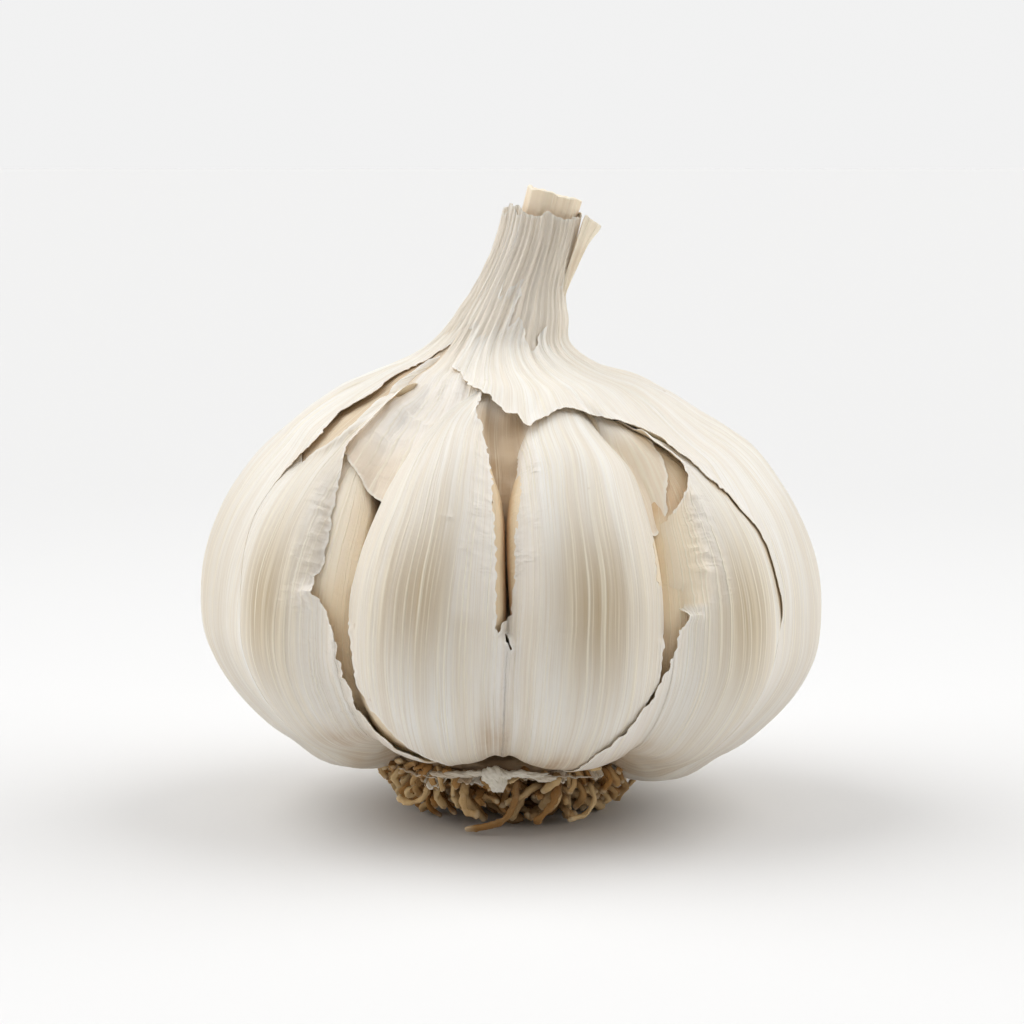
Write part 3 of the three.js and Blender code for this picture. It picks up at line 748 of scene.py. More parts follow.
def curl(th, t, f, seed, lift=0.35, reach=1.1):
    """Torn rims stand off a little, more in some places than in others."""
    n = 0.5 + 0.6 * pn(th * 0.13, t * 0.16, seed) + 0.5 * pn(th * 0.45, t * 0.5, seed + 1)
    return lift * np.clip(n, 0.0, 1.5) * np.exp(-np.maximum(f, 0) / reach)


def bump_at(th, t, a, b, ra, rb):
    """A soft round mound centred on azimuth a and arc length b, radii ra and rb in mm."""
    k = np.radians(1) * np.maximum(prof(t)[0], 2.0)
    return np.exp(-((wrap(th - a) * k / ra) ** 2 + ((t - b) / rb) ** 2))


def finish_leaf(name, node, P, f, thick, attrs, uv, material, closed=False, period=0.0, teeth=None, sub=3):
    V, F, A, L = sheet_mesh(P, f, thick, attrs, uv, closed=closed, period=period, teeth=teeth, sub=sub)
    print(name, "triangles:", sum(len(x) - 2 for x in F))
    ob = new_object(name, V, F, A, L)
    ob.data.materials.append(material)
    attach(ob, "root")
    if node:
        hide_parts(node)
    return ob


def leaf_front(mat):
    t = dense((-3.0, 12, 0.55), (12, 26, 0.45), (26, 47, 0.30), (47, 55.6, 0.36))
    TH, DEEP, U = lobe_grid([(10, -101, 0, 34), (10, 0, 90, 40), (0, -90, 0, 40), (0, 0, 101, 34)], t)
    T = np.repeat(t[:, None], TH.shape[1], 1)
    x = TH * np.radians(1) * np.maximum(prof(T)[0], 4)
    f = inside(TH, T, FRONT_LEAF)
    tear = smooth(31, 29, T) + smooth(44, 47, T) * (1 - smooth(-14, -11, TH)) * 0.5 + 0.35
    f = f + jag(TH, T, 0.17, 1.3, 3) * np.clip(tear, 0, 1)
    crack = seg_dist(TH, T, CRACK_SMALL) - 0.10
    f = np.minimum(f, crack)
    off = h_front(TH, T) - DEEP + wobble(TH, T)
    off += 0.035 * streaks(U, T)
    # the thin strip beside the slit is crinkled across
    strip_l = smooth(-12.0, -8.0, TH) * (1 - smooth(-1.6, -0.8, TH)) * smooth(27, 29, T) * (1 - smooth(46, 49, T))
    strip_r = smooth(-1.5, -0.5, TH) * (1 - smooth(3.5, 6.5, TH)) * smooth(27, 30, T) * (1 - smooth(44, 48, T))
    purple = np.clip(strip_l + strip_r, 0, 1)
    patch = 0.35 + 0.65 * np.clip(0.5 + 1.4 * pn(x * 0.35, T * 0.22, 305), 0, 1)
    off += 0.11 * purple * patch * crinkle(x, T)
    # single folds and dents
    off += 0.20 * np.exp(-np.abs((TH + 13.4) * 0.5 / 0.75) ** 4 - ((T - 36.9 + 0.05 * (TH + 13.4)) / 0.16) ** 2)
    off += 0.12 * np.exp(-((TH - 9.5) * 0.5 / 2.4) ** 2 - ((np.mod(T - 26.4, 0.8) - 0.4) / 0.2) ** 2) * smooth(26.2, 26.6, T) * (1 - smooth(28.0, 28.4, T))
    # a few bold lengthwise veins, raised, and fine ones between
    ribs = 0 * T
    for c0, dx, a0, t0, t1 in ((10, -4.7, 1.0, 17, 46), (10, -3.3, 0.7, 22, 44), (10, -6.3, 0.6, 14, 38), (10, 2.2, 0.45, 20, 34), (0, -2.6, 0.5, 18, 36), (0, 3.6, 0.75, 16, 42), (0, 5.4, 0.5, 20, 38), (0, 0.6, 0.4, 24, 44)):
        uc = dx + 40.0 * c0 + 0.35 * pn(T * 0.10, 0 * T + dx, 301)
        ribs += a0 * np.exp(-((U - uc) / 0.20) ** 2) * smooth(t0, t0 + 5, T) * (1 - smooth(t1 - 5, t1, T))
    off += 0.10 * ribs
    # the bridged crease under the slit: a soft grey ridge of gathered skin
    g = np.exp(-((TH + 0.9) * 0.5 / 0.85) ** 2) * smooth(3, 9, T) * (1 - smooth(24.5, 26.3, T))
    off += 0.30 * g + 0.12 * g * crinkle(x * 1.4, T * 1.1, 71)
    lip0 = np.exp(-((TH + 1.5) / 2.5) ** 2 - ((T - 26.5) / 1.6) ** 2)
    off += curl(TH, T, f, 31, 0.13, 0.6) * (1 - 0.6 * smooth(30, 33, T) * (TH < -20)) * (1 - 0.85 * lip0)
    lip = np.exp(-((np.maximum(f, 0)) / 0.5) ** 2) * smooth(-14, -12, TH) * (1 - smooth(-8, -5, TH)) * smooth(45, 48, T)
    off += 0.25 * lip
    P = place(TH, T, off)
    # painted shade: the forward-facing middles of both front cloves are made tan
    painted_shade_tan = 0.92 * belly_shade(TH, T, 10, mid=29.5, tall=8.0) + 1.0 * belly_shade(TH, T, 0, mid=29.0, tall=8.5)
    # tan and deep make it darker and browner towards the base: partly brown staining, partly painted warm shade near
    # the floor
    attrs = {"purple": (purple * 0.32 * patch + 0.40 * g) * (1 - 0.6 * smooth(21, 11, T)), "tan": np.clip(0.60 * smooth(18, 8, T) + painted_shade_tan * (1 - 0.65 * purple), 0, 1), "deep": np.clip(0.36 + 0.5 * pn(x * 0.35, T * 0.2, 308), 0.1, 0.7) * smooth(12.5, 6.5, T),
             "stain": np.clip(bump_at(TH, T, -4.0, 13.5, 1.1, 3.8) + 0.9 * bump_at(TH, T, 9.5, 10.5, 1.6, 2.4) + 0.8 * bump_at(TH, T, 13.5, 11.0, 1.3, 3.0) + 0.6 * g * smooth(22, 14, T) + 0.35 * smooth(9, 2, T), 0, 1),
             "fibre": 0 * T, "crink": np.clip(0.8 * purple * patch + 0.5 * g, 0, 1), "rib": ribs}
    calm = lambda a, b: 0.75 * smooth(30, 34, b) * (a < -10) * (b < 46)
    return finish_leaf("wrapper_front_skin", "wrapper_front", P, f, 0.15, attrs, np.stack([U, T], -1), mat, teeth=(TH, T, fine_teeth(401, 0.10, calm)), sub=2)


def leaf_left(mat):
    t = dense((-3.0, 12, 0.55), (12, 28, 0.42), (28, 46, 0.30), (46, 63.6, 0.45))
    TH, DEEP, U = lobe_grid([(8, 40, 90, 12), (9, -90, 0, 34), (9, 0, 90, 40), (10, -90, -8, 26)], t)
    T = np.repeat(t[:, None], TH.shape[1], 1)
    x = TH * np.radians(1) * np.maximum(prof(T)[0], 4)
    f = inside(TH, T, LEFT_LEAF) + jag(TH, T, 0.20, 1.3, 13) * (0.25 + 0.75 * smooth(44, 38, T))
    off = h_left(TH, T) + wobble(TH, T) + 0.035 * streaks(U, T, 44)
    strip = smooth(-48.0, -43.5, TH) * smooth(26, 28, T) * (1 - smooth(42, 46, T))
    patch = 0.35 + 0.65 * np.clip(0.5 + 1.4 * pn(x * 0.35, T * 0.22, 306), 0, 1)
    off += 0.15 * strip * patch * crinkle(x, T, 63)
    off += neck_ridge(TH, T) * smooth(42, 48, T)
    low = smooth(-46, -37, TH) * (1 - smooth(22, 28, T)) * smooth(8, 13, T)
    off += 0.27 * rungs(TH, T, ((29.0, -38.0), (30.7, -38.9), (33.0, -40.2), (35.3, -42.0), (37.6, -44.4)), 501) + 0.13 * rungs(TH, T, ((15.2, -33.5), (20.0, -31.4), (24.4, -31.9), (28.1, -34.8)), 502, 1.5, 1.2)
    off += 0.10 * low * crinkle(x * 0.8, T * 0.8, 64)
    # where it thins out over the clove its rim lies down on it
    feather = np.exp(-np.maximum(f, 0) / 0.9) * smooth(28.5, 31, T) * (1 - smooth(41, 45, T))
    off -= 0.36 * feather
    # rolled rim along the upper right side, from the neck down to the shoulder
    od = inside(TH, T, OUTER_OPENING)
    roll = np.exp(-(np.maximum(f, 0) / 0.55) ** 2) * smooth(38, 43, T) * smooth(0.2, 0.9, od)
    off += 0.42 * roll + curl(TH, T, f, 33, 0.34, 0.8) * (1 - smooth(40, 46, T)) * (1 - 0.8 * smooth(29.5, 32, T) * (1 - smooth(40, 44, T))) * smooth(10, 16, T)
    tip = bump_at(TH, T, -38.3, 28.4, 1.4, 0.8)
    off += 0.55 * tip
    ribs = 0 * T
    for dx, a0, t0, t1 in ((-5.2, 0.5, 16, 40), (-2.6, 0.6, 14, 44), (0.3, 0.5, 18, 40), (2.6, 0.85, 12, 36), (3.9, 0.6, 10, 30)):
        uc = dx + 40.0 * 9 + 0.35 * pn(T * 0.10, 0 * T + dx, 311)
        ribs += a0 * np.exp(-((U - uc) / 0.20) ** 2) * smooth(t0, t0 + 5, T) * (1 - smooth(t1 - 5, t1, T))
    off += 0.09 * ribs
    P = place(TH, T, off)
    # painted shade: a deep straw band along the outer skin's edge, where this leaf goes in under it
    od = inside(TH, T, OUTER_OPENING)
    gap = np.exp(-(np.maximum(od - 0.1, 0) / (0.85 + 0.6 * smooth(50, 56, T))) ** 2) * smooth(40, 43.5, T) * smooth(-80, -66, TH)
    # painted shade: tan over the forward-facing middle of its clove and along the outer skin's edge; the last term
    # blends its thin rim towards the tan beside it
    painted_shade_tan = 0.15 * gap + 1.0 * belly_shade(TH, T, 9, wide=9.5, mid=27) + 0.45 * np.exp(-np.maximum(f, 0) / 1.3) * smooth(28.5, 31, T) * (1 - smooth(44, 48, T))
    attrs = {"purple": np.clip(strip * 0.35 * patch + 0.18 * low, 0, 1), "tan": np.clip(0.40 * smooth(17, 6, T) + painted_shade_tan, 0, 1), "deep": 0.06 * gap + np.clip(0.18 + 0.4 * pn(x * 0.35, T * 0.2, 310), 0, 0.5) * smooth(12, 6, T),
             "stain": np.clip(0.45 * smooth(7, 1, T) + bump_at(TH, T, -40, 11.5, 3.0, 2.0) * 0.8 + bump_at(TH, T, -30, 12.5, 2.0, 1.6) * 0.5, 0, 1), "fibre": 0 * T,
             "crink": np.clip(strip * patch + 0.5 * low * patch, 0, 1), "rib": ribs}
    return finish_leaf("wrapper_left_skin", "wrapper_left", P, f, 0.16, attrs, np.stack([U, T], -1), mat, teeth=(TH, T, fine_teeth(411, 0.11, lambda a, b: np.maximum(0.8 * smooth(44, 47, b), 0.6 * smooth(30.5, 32, b)))), sub=2)


def leaf_right(mat):
    t = dense((-3.0, 12, 0.55), (12, 26, 0.42), (26, 44, 0.30), (44, 54.6, 0.42))
    TH, DEEP, U = lobe_grid([(0, 4, 90, 26), (1, -90, 0, 40), (1, 0, 90, 34), (2, -90, -40, 12)], t)
    T = np.repeat(t[:, None], TH.shape[1], 1)
    x = TH * np.radians(1) * np.maximum(prof(T)[0], 4)
    f = inside(TH, T, RIGHT_LEAF) + jag(TH, T, 0.19, 1.3, 23) * (0.25 + 0.75 * smooth(40, 34, T))
    off = h_right(TH, T) + wobble(TH, T) + 0.035 * streaks(U, T, 48)
    strip = smooth(34.5, 37.0, TH) * (1 - smooth(40.5, 45.0, TH)) * smooth(28, 30, T) * (1 - smooth(41, 44, T))
    patch = 0.35 + 0.65 * np.clip(0.5 + 1.4 * pn(x * 0.35, T * 0.22, 307), 0, 1)
    off += 0.16 * strip * patch * crinkle(x, T, 66)
    lap = (1 - smooth(27, 31, TH)) * (1 - smooth(24, 28, T))
    off += 0.18 * lap
    # the crinkled ridge stands between the smooth skin over the valley and the back
    ridge = np.exp(-((TH - 38.2 - 0.5 * pn(T * 0.5, 0 * T, 88)) / 1.5) ** 2) * smooth(29, 32, T) * (1 - smooth(39.5, 42, T))
    off += ridge * (0.08 + 0.12 * crinkle(x * 0.9, T * 1.15, 67)) + 0.28 * rungs(TH, T, ((28.4, 34.8), (31.4, 35.4), (33.7, 36.4), (36.1, 37.5), (38.4, 39.3), (40.4, 41.0)), 503, 1.0, 0.95)
    # the fold ridge that climbs to the collar
    od = inside(TH, T, OUTER_OPENING)
    roll = np.exp(-(np.maximum(f, 0) / 0.6) ** 2) * smooth(35, 41, T) * smooth(0.0, 0.8, od)
    off += 0.55 * roll + curl(TH, T, f, 35, 0.32, 0.8) * (1 - smooth(36, 42, T)) * (1 - 0.85 * smooth(29, 31, T)) * smooth(10, 18, T)
    off += 0.35 * bump_at(TH, T, 37.5, 32.0, 1.0, 0.6) + 0.4 * bump_at(TH, T, 33.0, 27.9, 1.4, 0.7)
    # its thin lower rim above the gap sinks onto the clove
    off -= 0.9 * (1 - smooth(29.8, 31.4, T)) * smooth(28.2, 28.9, T) * (1 - smooth(33.0, 34.5, TH))
    ribs = 0 * T
    for dx, a0, t0, t1 in ((-2.2, 0.5, 14, 38), (0.6, 0.6, 12, 42), (3.0, 0.5, 16, 40), (4.9, 0.7, 14, 40), (6.4, 0.5, 18, 36)):
        uc = dx + 40.0 * 1 + 0.35 * pn(T * 0.10, 0 * T + dx, 321)
        ribs += a0 * np.exp(-((U - uc) / 0.20) ** 2) * smooth(t0, t0 + 5, T) * (1 - smooth(t1 - 5, t1, T))
    off += 0.09 * ribs
    P = place(TH, T, off)
    od = inside(TH, T, OUTER_OPENING)
    # painted shade: a narrow band along the outer skin's edge, where the gap under it lies in shade, is made tan and
    # deep ochre
    gap = np.exp(-(np.maximum(od, 0) / 0.45) ** 2) * smooth(25.5, 28, T) * smooth(45, 47, TH)
    peach = (1 - smooth(36.0, 39.6 + 0.8 * pn(T * 0.6, 0 * T, 89), TH)) * smooth(28.6, 29.4, T) * (1 - smooth(40.5, 43, T)) * 0.9
    # painted shade: tan over the forward-facing middle of its clove, less on the peach strip, and along the outer
    # skin's edge
    painted_shade_tan = 1.0 * belly_shade(TH, T, 1, wide=9.5, mid=28) * (1 - peach) + 0.9 * gap
    # tan and deep make it darker and browner towards the base: partly brown staining, partly painted warm shade near
    # the floor
    attrs = {"purple": np.clip(strip * 0.25 * patch + 0.45 * lap, 0, 1), "tan": np.clip(0.48 * smooth(19, 7, T) + painted_shade_tan, 0, 1), "deep": 0.45 * gap + np.clip(0.30 + 0.5 * pn(x * 0.35, T * 0.2, 309), 0.05, 0.6) * smooth(12, 6, T), "peach": peach,
             "blend": np.clip(peach * 1.2, 0, 1) * (T < 38),
             "stain": np.clip(0.45 * smooth(7, 1, T) + bump_at(TH, T, 27, 12.0, 3.0, 1.6) * 0.8 + bump_at(TH, T, 36, 9.0, 4.0, 2.0) * 0.5, 0, 1), "fibre": 0 * T,
             "crink": np.clip(strip * patch + 0.3 * lap, 0, 1), "rib": ribs}
    return finish_leaf("wrapper_right_skin", "wrapper_right", P, f, 0.16, attrs, np.stack([U, T], -1), mat, teeth=(TH, T, fine_teeth(421, 0.11, lambda a, b: 0.8 * smooth(41, 44, b))), sub=2)


def ring_columns(parts):
    """Azimuth columns all round from (from, to, step) runs."""
    out = []
    for a, b, s in parts:
        n = int(round((b - a) / s))
        out.append(np.linspace(a, b, n, endpoint=False))
    return np.concatenate(out)


def leaf_outer(mat):
    th = ring_columns([(-180, -92, 1.6), (-92, -70, 1.0), (-70, 70, 0.85), (70, 96, 1.1), (96, 180, 1.6)])
    t = dense((-3.0, 22, 0.85), (22, 40, 0.68), (40, 76.9, 0.5))
    TH, T = np.meshgrid(th, t)
    x = TH * np.radians(1) * np.maximum(prof(T)[0], 4)
    f = -inside(TH, T, OUTER_OPENING)
    # below the shoulder it is one skin with the leaves beside it
    lowl = (1 - smooth(-54, -50, wrap(TH))) * smooth(-86, -76, wrap(TH)) * (1 - smooth(37, 45.5, T))
    lowr = smooth(47, 51, wrap(TH)) * (1 - smooth(76, 86, wrap(TH))) * (1 - smooth(25.5, 29, T))
    midr = smooth(40, 46, wrap(TH)) * (1 - smooth(70, 80, wrap(TH))) * smooth(25.5, 29, T) * (1 - smooth(40, 45, T))
    one = np.clip(lowl + lowr, 0, 1)
    neckl = smooth(-80, -70, wrap(TH)) * (1 - smooth(-38, -32, wrap(TH))) * smooth(42, 45.5, T) * (1 - smooth(61.5, 63.5, T))
    f = f + jag(TH, T, 0.18, 1.5, 53) * (1 - 0.9 * one)
    fn = -inside(TH, T, NECK_OPENING) + 0.5 * jag(TH, T, 0.3, 1.2, 57)
    f = np.minimum(f, fn)
    top = TOT - 0.50 + 0.14 * ring_pn(TH, 0 * T, 9, 81) + 0.05 * ring_pn(TH, 0 * T, 23, 82) + 0.55 * np.exp(-((wrap(TH + 62)) / 16) ** 2) - 0.5 * np.exp(-((wrap(TH + 36)) / 9) ** 2)
    f = np.minimum(f, top - T)
    U = TH * 0.42
    off = h_outer(TH, T) + wobble(TH, T) + neck_ridge(TH, T)
    off += 0.05 * streaks(U, T, 52) * (1 + smooth(40, 55, T))
    off += 0.10 * ring_pn(TH, T * 0.5, 40, 90) * smooth(30, 45, T) * (1 - smooth(56, 62, T))
    fo = np.minimum(f, 5)
    front = (np.abs(wrap(TH)) < 75) & (T < 62)
    fp = np.maximum(f, 0)
    flat = one * np.exp(-(fp / 3.0) ** 2) + np.clip(0.95 * midr + 0.85 * neckl, 0, 0.95) * (1 - one) * np.exp(-(fp / 1.8) ** 2)
    side = np.where(wrap(TH) < 0, h_left(TH, T), h_right(TH, T)) + wobble(TH, T) + 0.035 + 0.10 * smooth(0, 1.6, fp) + 0.06 * midr + 0.14 * neckl
    off = off * (1 - flat) + side * flat
    # wherever a side leaf lies under it, it rests on that leaf
    over = smooth(-84, -78, wrap(TH)) * (1 - smooth(-40, -36, wrap(TH))) * smooth(25, 29, T) * (1 - smooth(61, 63, T))
    over = over + smooth(36, 40, wrap(TH)) * (1 - smooth(72, 78, wrap(TH))) * smooth(24, 27, T) * (1 - smooth(51, 54, T))
    rest = np.where(wrap(TH) < 0, h_left(TH, T), h_right(TH, T)) + wobble(TH, T) + neck_ridge(TH, T) + 0.24
    off = off * (1 - over) + soft_max(off, rest, 0.15) * over * (1 - one) + off * over * one
    off += np.where(front, curl(TH, T, fo, 37, 0.15, 0.8), 0.6 * curl(TH, T, fo, 39, 0.3, 0.8) * (1 - smooth(66, 70, T))) * (1 - one) * (1 - 0.9 * midr) * (1 - 0.92 * neckl)
    off += 0.20 * np.exp(-np.maximum(fn, 0) / 0.6) * (T > 60) * (0.6 + 0.5 * pn(TH * 0.2, T * 0.5, 43))
    # the left strip of the neck is a fold lying over the rest
    fold = smooth(-62, -56, wrap(TH)) * (1 - smooth(-33, -28, wrap(TH))) * smooth(60, 66, T)
    off += 0.16 * fold
    P = place(TH, T, off)
    collar = smooth(-36, -28, wrap(TH)) * (1 - smooth(66, 78, wrap(TH)))
    back = 0.45 * np.clip(ring_pn(TH, T * 0.05, 11, 96) + 0.1, 0, 1) * smooth(14, 20, T) * (1 - smooth(34, 42, T)) * smooth(75, 100, np.abs(wrap(TH)))
    attrs = {"purple": 0.22 * np.clip(ring_pn(TH, T * 0.06, 14, 95) + 0.2, 0, 1) * (1 - smooth(46, 54, T)), "deep": 0 * T,
             "tan": np.clip(back + 0.50 * np.exp(-((np.abs(wrap(TH)) - 88) / 26) ** 2 - ((T - 24) / 12) ** 2) + 0.25 * smooth(12, 4, T) + 0.12 * smooth(58, 66, T) * (1 - 0.7 * fold) * (1 - collar), 0, 1),
             "stain": np.clip(ring_pn(TH, T * 0.2, 30, 97) - 0.35, 0, 1) * smooth(20, 6, T) * 1.2,
             "fibre": smooth(54, 64, T) * (1 - 0.5 * fold) * (1 - 0.85 * collar), "crink": 0.20 * np.clip(ring_pn(TH, T * 0.3, 9, 98) + 0.1, 0, 1) * (1 - smooth(50, 56, T)), "rib": 0 * T,
             "blend": one * (1 - smooth(0.4, 1.6, f))}
    calm = lambda a, b: np.clip((1 - smooth(-54, -50, wrap(a))) * (1 - smooth(34, 42, b)) + smooth(47, 51, wrap(a)) * (1 - smooth(25.5, 29, b)) + 0.8 * smooth(70, 72, b), 0, 1)
    return finish_leaf("wrapper_outer_skin", "wrapper_outer", P, f, 0.17, attrs, np.stack([U, T], -1), mat, closed=True, period=360 * 0.42,
                       teeth=(TH, T, fine_teeth(431, 0.12, calm)), sub=2)


def leaf_inner(mat):
    th = ring_columns([(-180, -80, 3.0), (-80, 64, 0.95), (64, 180, 3.0)])
    t = np.arange(33.0, 76.9, 0.5)
    TH, T = np.meshgrid(th, t)
    x = TH * np.radians(1) * np.maximum(prof(T)[0], 4)
    f = inside(TH, T, INNER_LEAF) + 0.8 * jag(TH, T, 0.2, 1.4, 73)
    f = np.maximum(f, T - 60.0)
    top = TOT - 1.0 + 0.14 * ring_pn(TH, 0 * T + 4, 11, 83) + 0.05 * ring_pn(TH, 0 * T + 4, 31, 84) + 0.9 * np.exp(-(wrap(TH + 44) / 16) ** 2) - 0.25 * np.exp(-(wrap(TH - 38) / 14) ** 2) + 0.55 * np.exp(-(wrap(TH - 7) / 7) ** 2) + 0.35 * smooth(60, 100, np.abs(TH))
    f = np.minimum(f, top - T)
    U = TH * 0.42 + 500
    off = h_inner(TH, T) + wobble(TH, T) + neck_ridge(TH, T) * 1.0
    off += 0.05 * streaks(U, T, 58)
    pocket = smooth(-13, -9, TH) * (1 - smooth(2, 6, TH)) * (1 - smooth(50, 53, T))
    off += 0.26 * pocket * (pn(x * 0.40, T * 0.55, 77) + 0.6 * pn(x * 0.9, T * 1.0, 78))
    sh = smooth(-50, -44, TH) * (1 - smooth(-22, -15, TH)) * (1 - smooth(55, 58, T))
    off += 0.15 * sh * (pn(x * 0.5, T * 0.35, 75) + 0.6 * pn(x * 1.0, T * 0.9, 76) + 0.5 * crinkle(x * 0.7, T * 0.8, 79))
    # a lapped pleat across the shoulder
    off += 0.35 * sh * np.exp(-((T - 49.6 + 0.12 * (TH + 32)) / 0.35) ** 2) * smooth(-40, -37, TH)
    P = place(TH, T, off)
    # painted shade: where it lies in under the outer and left skins it is coloured tan and deep ochre; low on the
    # shoulder it is made tan and deeper, partly its own tan and partly painted shade below the left leaf's rolled rim
    under = (1 - smooth(-50, -44, TH)) * (1 - smooth(60, 64, T))
    sh = sh * (1 - under)
    attrs = {"purple": np.clip(sh * 0.25, 0, 1), "tan": np.clip(under + pocket * 1.0 + 0.75 * sh * smooth(49, 42, T) + 0.22 * smooth(58, 64, T) * (1 - 0.8 * np.exp(-np.maximum(top - T, 0) / 0.35)) + smooth(18, 24, TH) * (1 - smooth(46, 50, T)) * 0.8, 0, 1),
             "stain": 0.0 * T, "fibre": 0.9 * smooth(56, 63, T), "crink": np.clip(0.45 * sh + 0.12 * pocket, 0, 1), "rib": 0 * T, "deep": np.clip(0.78 * pocket + under * (0.50 + 0.35 * smooth(50, 57, T)) + 0.42 * sh * smooth(46.5, 41, T), 0, 1)}
    return finish_leaf("wrapper_inner_skin", "wrapper_inner", P, f, 0.13, attrs, np.stack([U, T], -1), mat, closed=True, period=360 * 0.42,
                       teeth=(TH, T, fine_teeth(441, 0.08)), sub=2)


# ---- cloves ------------------------------------------------------------------------------------------
def clove(k, mat):
    fine = k in (0, 1, 9, 10)
    na, nt = (88, 110) if fine else (52, 64)
    w_all = np.array(CLOVE_W[k])
    live = _T[(w_all > 0.42) & (_T > 0.8)]
    t = live.min() + (live.max() - live.min()) * (0.5 - 0.5 * np.cos(np.linspace(0.10, np.pi - 0.05, nt)))
    c, w = clove_cw(k, t)
    R = prof(t)[0]
    h = np.degrees(w / R)
    # the deep side of the ring takes fewer columns than the back
    n_back = int(na * 0.68)
    ang = np.concatenate([np.linspace(-90, 90, n_back, endpoint=False), np.linspace(90, 270, na - n_back, endpoint=False)])
    # the two front cloves draw apart above their bridge of skin
    hl, hr = h.copy(), h.copy()
    if k == 10:
        m = smooth(22, 26, t) * (1 - smooth(46, 50, t))
        hr = h * (1 - m) + (slit(t)[0] - c) * m
    if k == 0:
        m = smooth(22, 26, t) * (1 - smooth(46, 50, t))
        hl = h * (1 - m) + (c - slit(t)[1]) * m
    D = np.minimum(7.5, 0.42 * R) * smooth(-1, 9, t) * (1 - smooth(44, 56, t)) + 0.35
    TH, OFF, U = [], [], []
    for a in ang:
        if a <= 90:
            s = math.sin(math.radians(a))
            dip = -KAPPA * w * (1 - math.sqrt(1 - 0.985 * s * s)) + 0 * t
            wide = 0 * t
            if (k == 9 and s > 0) or (k == 1 and s < 0):
                # stretched skin bridges the valley to the front clove, so the side slopes down to it gently
                m2 = smooth(9, 14, t) * (1 - smooth(37.6, 41.6, t))
                dip = dip * (1 - m2) + soft_max(dip, -(2.3 if k == 9 else 2.8), 0.8) * m2
                wide = 1.8 * m2 * abs(s) ** 3
            if (k == 10 and s > 0) or (k == 0 and s < 0):
                dip = dip + 0.35 * smooth(0.55, 0.9, abs(s)) * (1 - smooth(0.93, 1.0, abs(s))) * smooth(26, 29, t) * (1 - smooth(42, 46, t))
            TH.append(c + ((hr if s > 0 else hl) + wide) * s)
            OFF.append(dip + OFF_CLOVE)
            U.append(np.full(nt, math.radians(a) * 8.0))
        else:
            b = math.radians(a - 90)
            s = math.cos(b)
            side = np.sign(s) * abs(s) ** 0.55
            flare = 1 + np.clip(16.1 / h - 1, 0, 0.10) * (1 - smooth(33, 38, t)) * min(1, math.sin(b) * 2.5)
            if (k == 10 and side > 0) or (k == 0 and side < 0):
                flare = 1 + (flare - 1) * (1 - smooth(22, 26, t))
            edge = -0.878 * KAPPA * w
            if (k == 9 and side > 0) or (k == 1 and side < 0):
                m2 = smooth(9, 14, t) * (1 - smooth(37.6, 41.6, t))
                edge = edge * (1 - m2) + soft_max(edge, -(2.3 if k == 9 else 2.8), 0.8) * m2
                flare = flare + 1.8 / h * m2 * max(0.0, 1 - b * 1.2)
            TH.append(c + (hr if side > 0 else hl) * side * flare)
            OFF.append(OFF_CLOVE + edge - D * math.sin(b) ** 0.75)
            U.append(np.full(nt, a * 0.14))
    TH, OFF, U = np.stack(TH, 1), np.stack(OFF, 1), np.stack(U, 1)
    T = np.repeat(t[:, None], TH.shape[1], 1)
    OFF = OFF - 0.9 * smooth(50, 57, T) + 0.8 * wobble(TH, T) + 0.03 * streaks(U + 90 * k, T, 120 + k)
    x = TH * np.radians(1) * np.maximum(prof(T)[0], 4)
    flank = smooth(5.5, 10.5, np.abs(U))
    OFF = OFF + 0.11 * flank * (np.clip(1 - 3 * np.abs(pn(x * 0.25, T * 0.75, 130 + k)), 0, 1) - 0.3) * smooth(4, 8, T)
    P = place(TH, T, OFF)
    rows, cols = T.shape
    V = P.reshape(-1, 3)
    idx = np.arange(rows * cols).reshape(rows, cols)
    nxt = np.roll(idx, -1, 1)
    F = np.stack([idx[:-1], nxt[:-1], nxt[1:], idx[1:]], -1).reshape(-1, 4).tolist()
    F = [tuple(x) for x in F]
    bot, top = len(V), len(V) + 1
    V = np.vstack([V, P[0].mean(0), P[-1].mean(0)])
    F += [(bot, int(nxt[0, j]), int(idx[0, j])) for j in range(cols)]
    F += [(top, int(idx[-1, j]), int(nxt[-1, j])) for j in range(cols)]
    Uf = np.concatenate([U.ravel(), [0, 0]])
    Tf = np.concatenate([T.ravel(), [t[0], t[-1]]])
    uv = []
    for f in F:
        for i in f:
            uv.append((Uf[i] + 40 * k, Tf[i]))
    nv = len(V)
    fl = np.concatenate([flank.ravel(), [0, 0]])
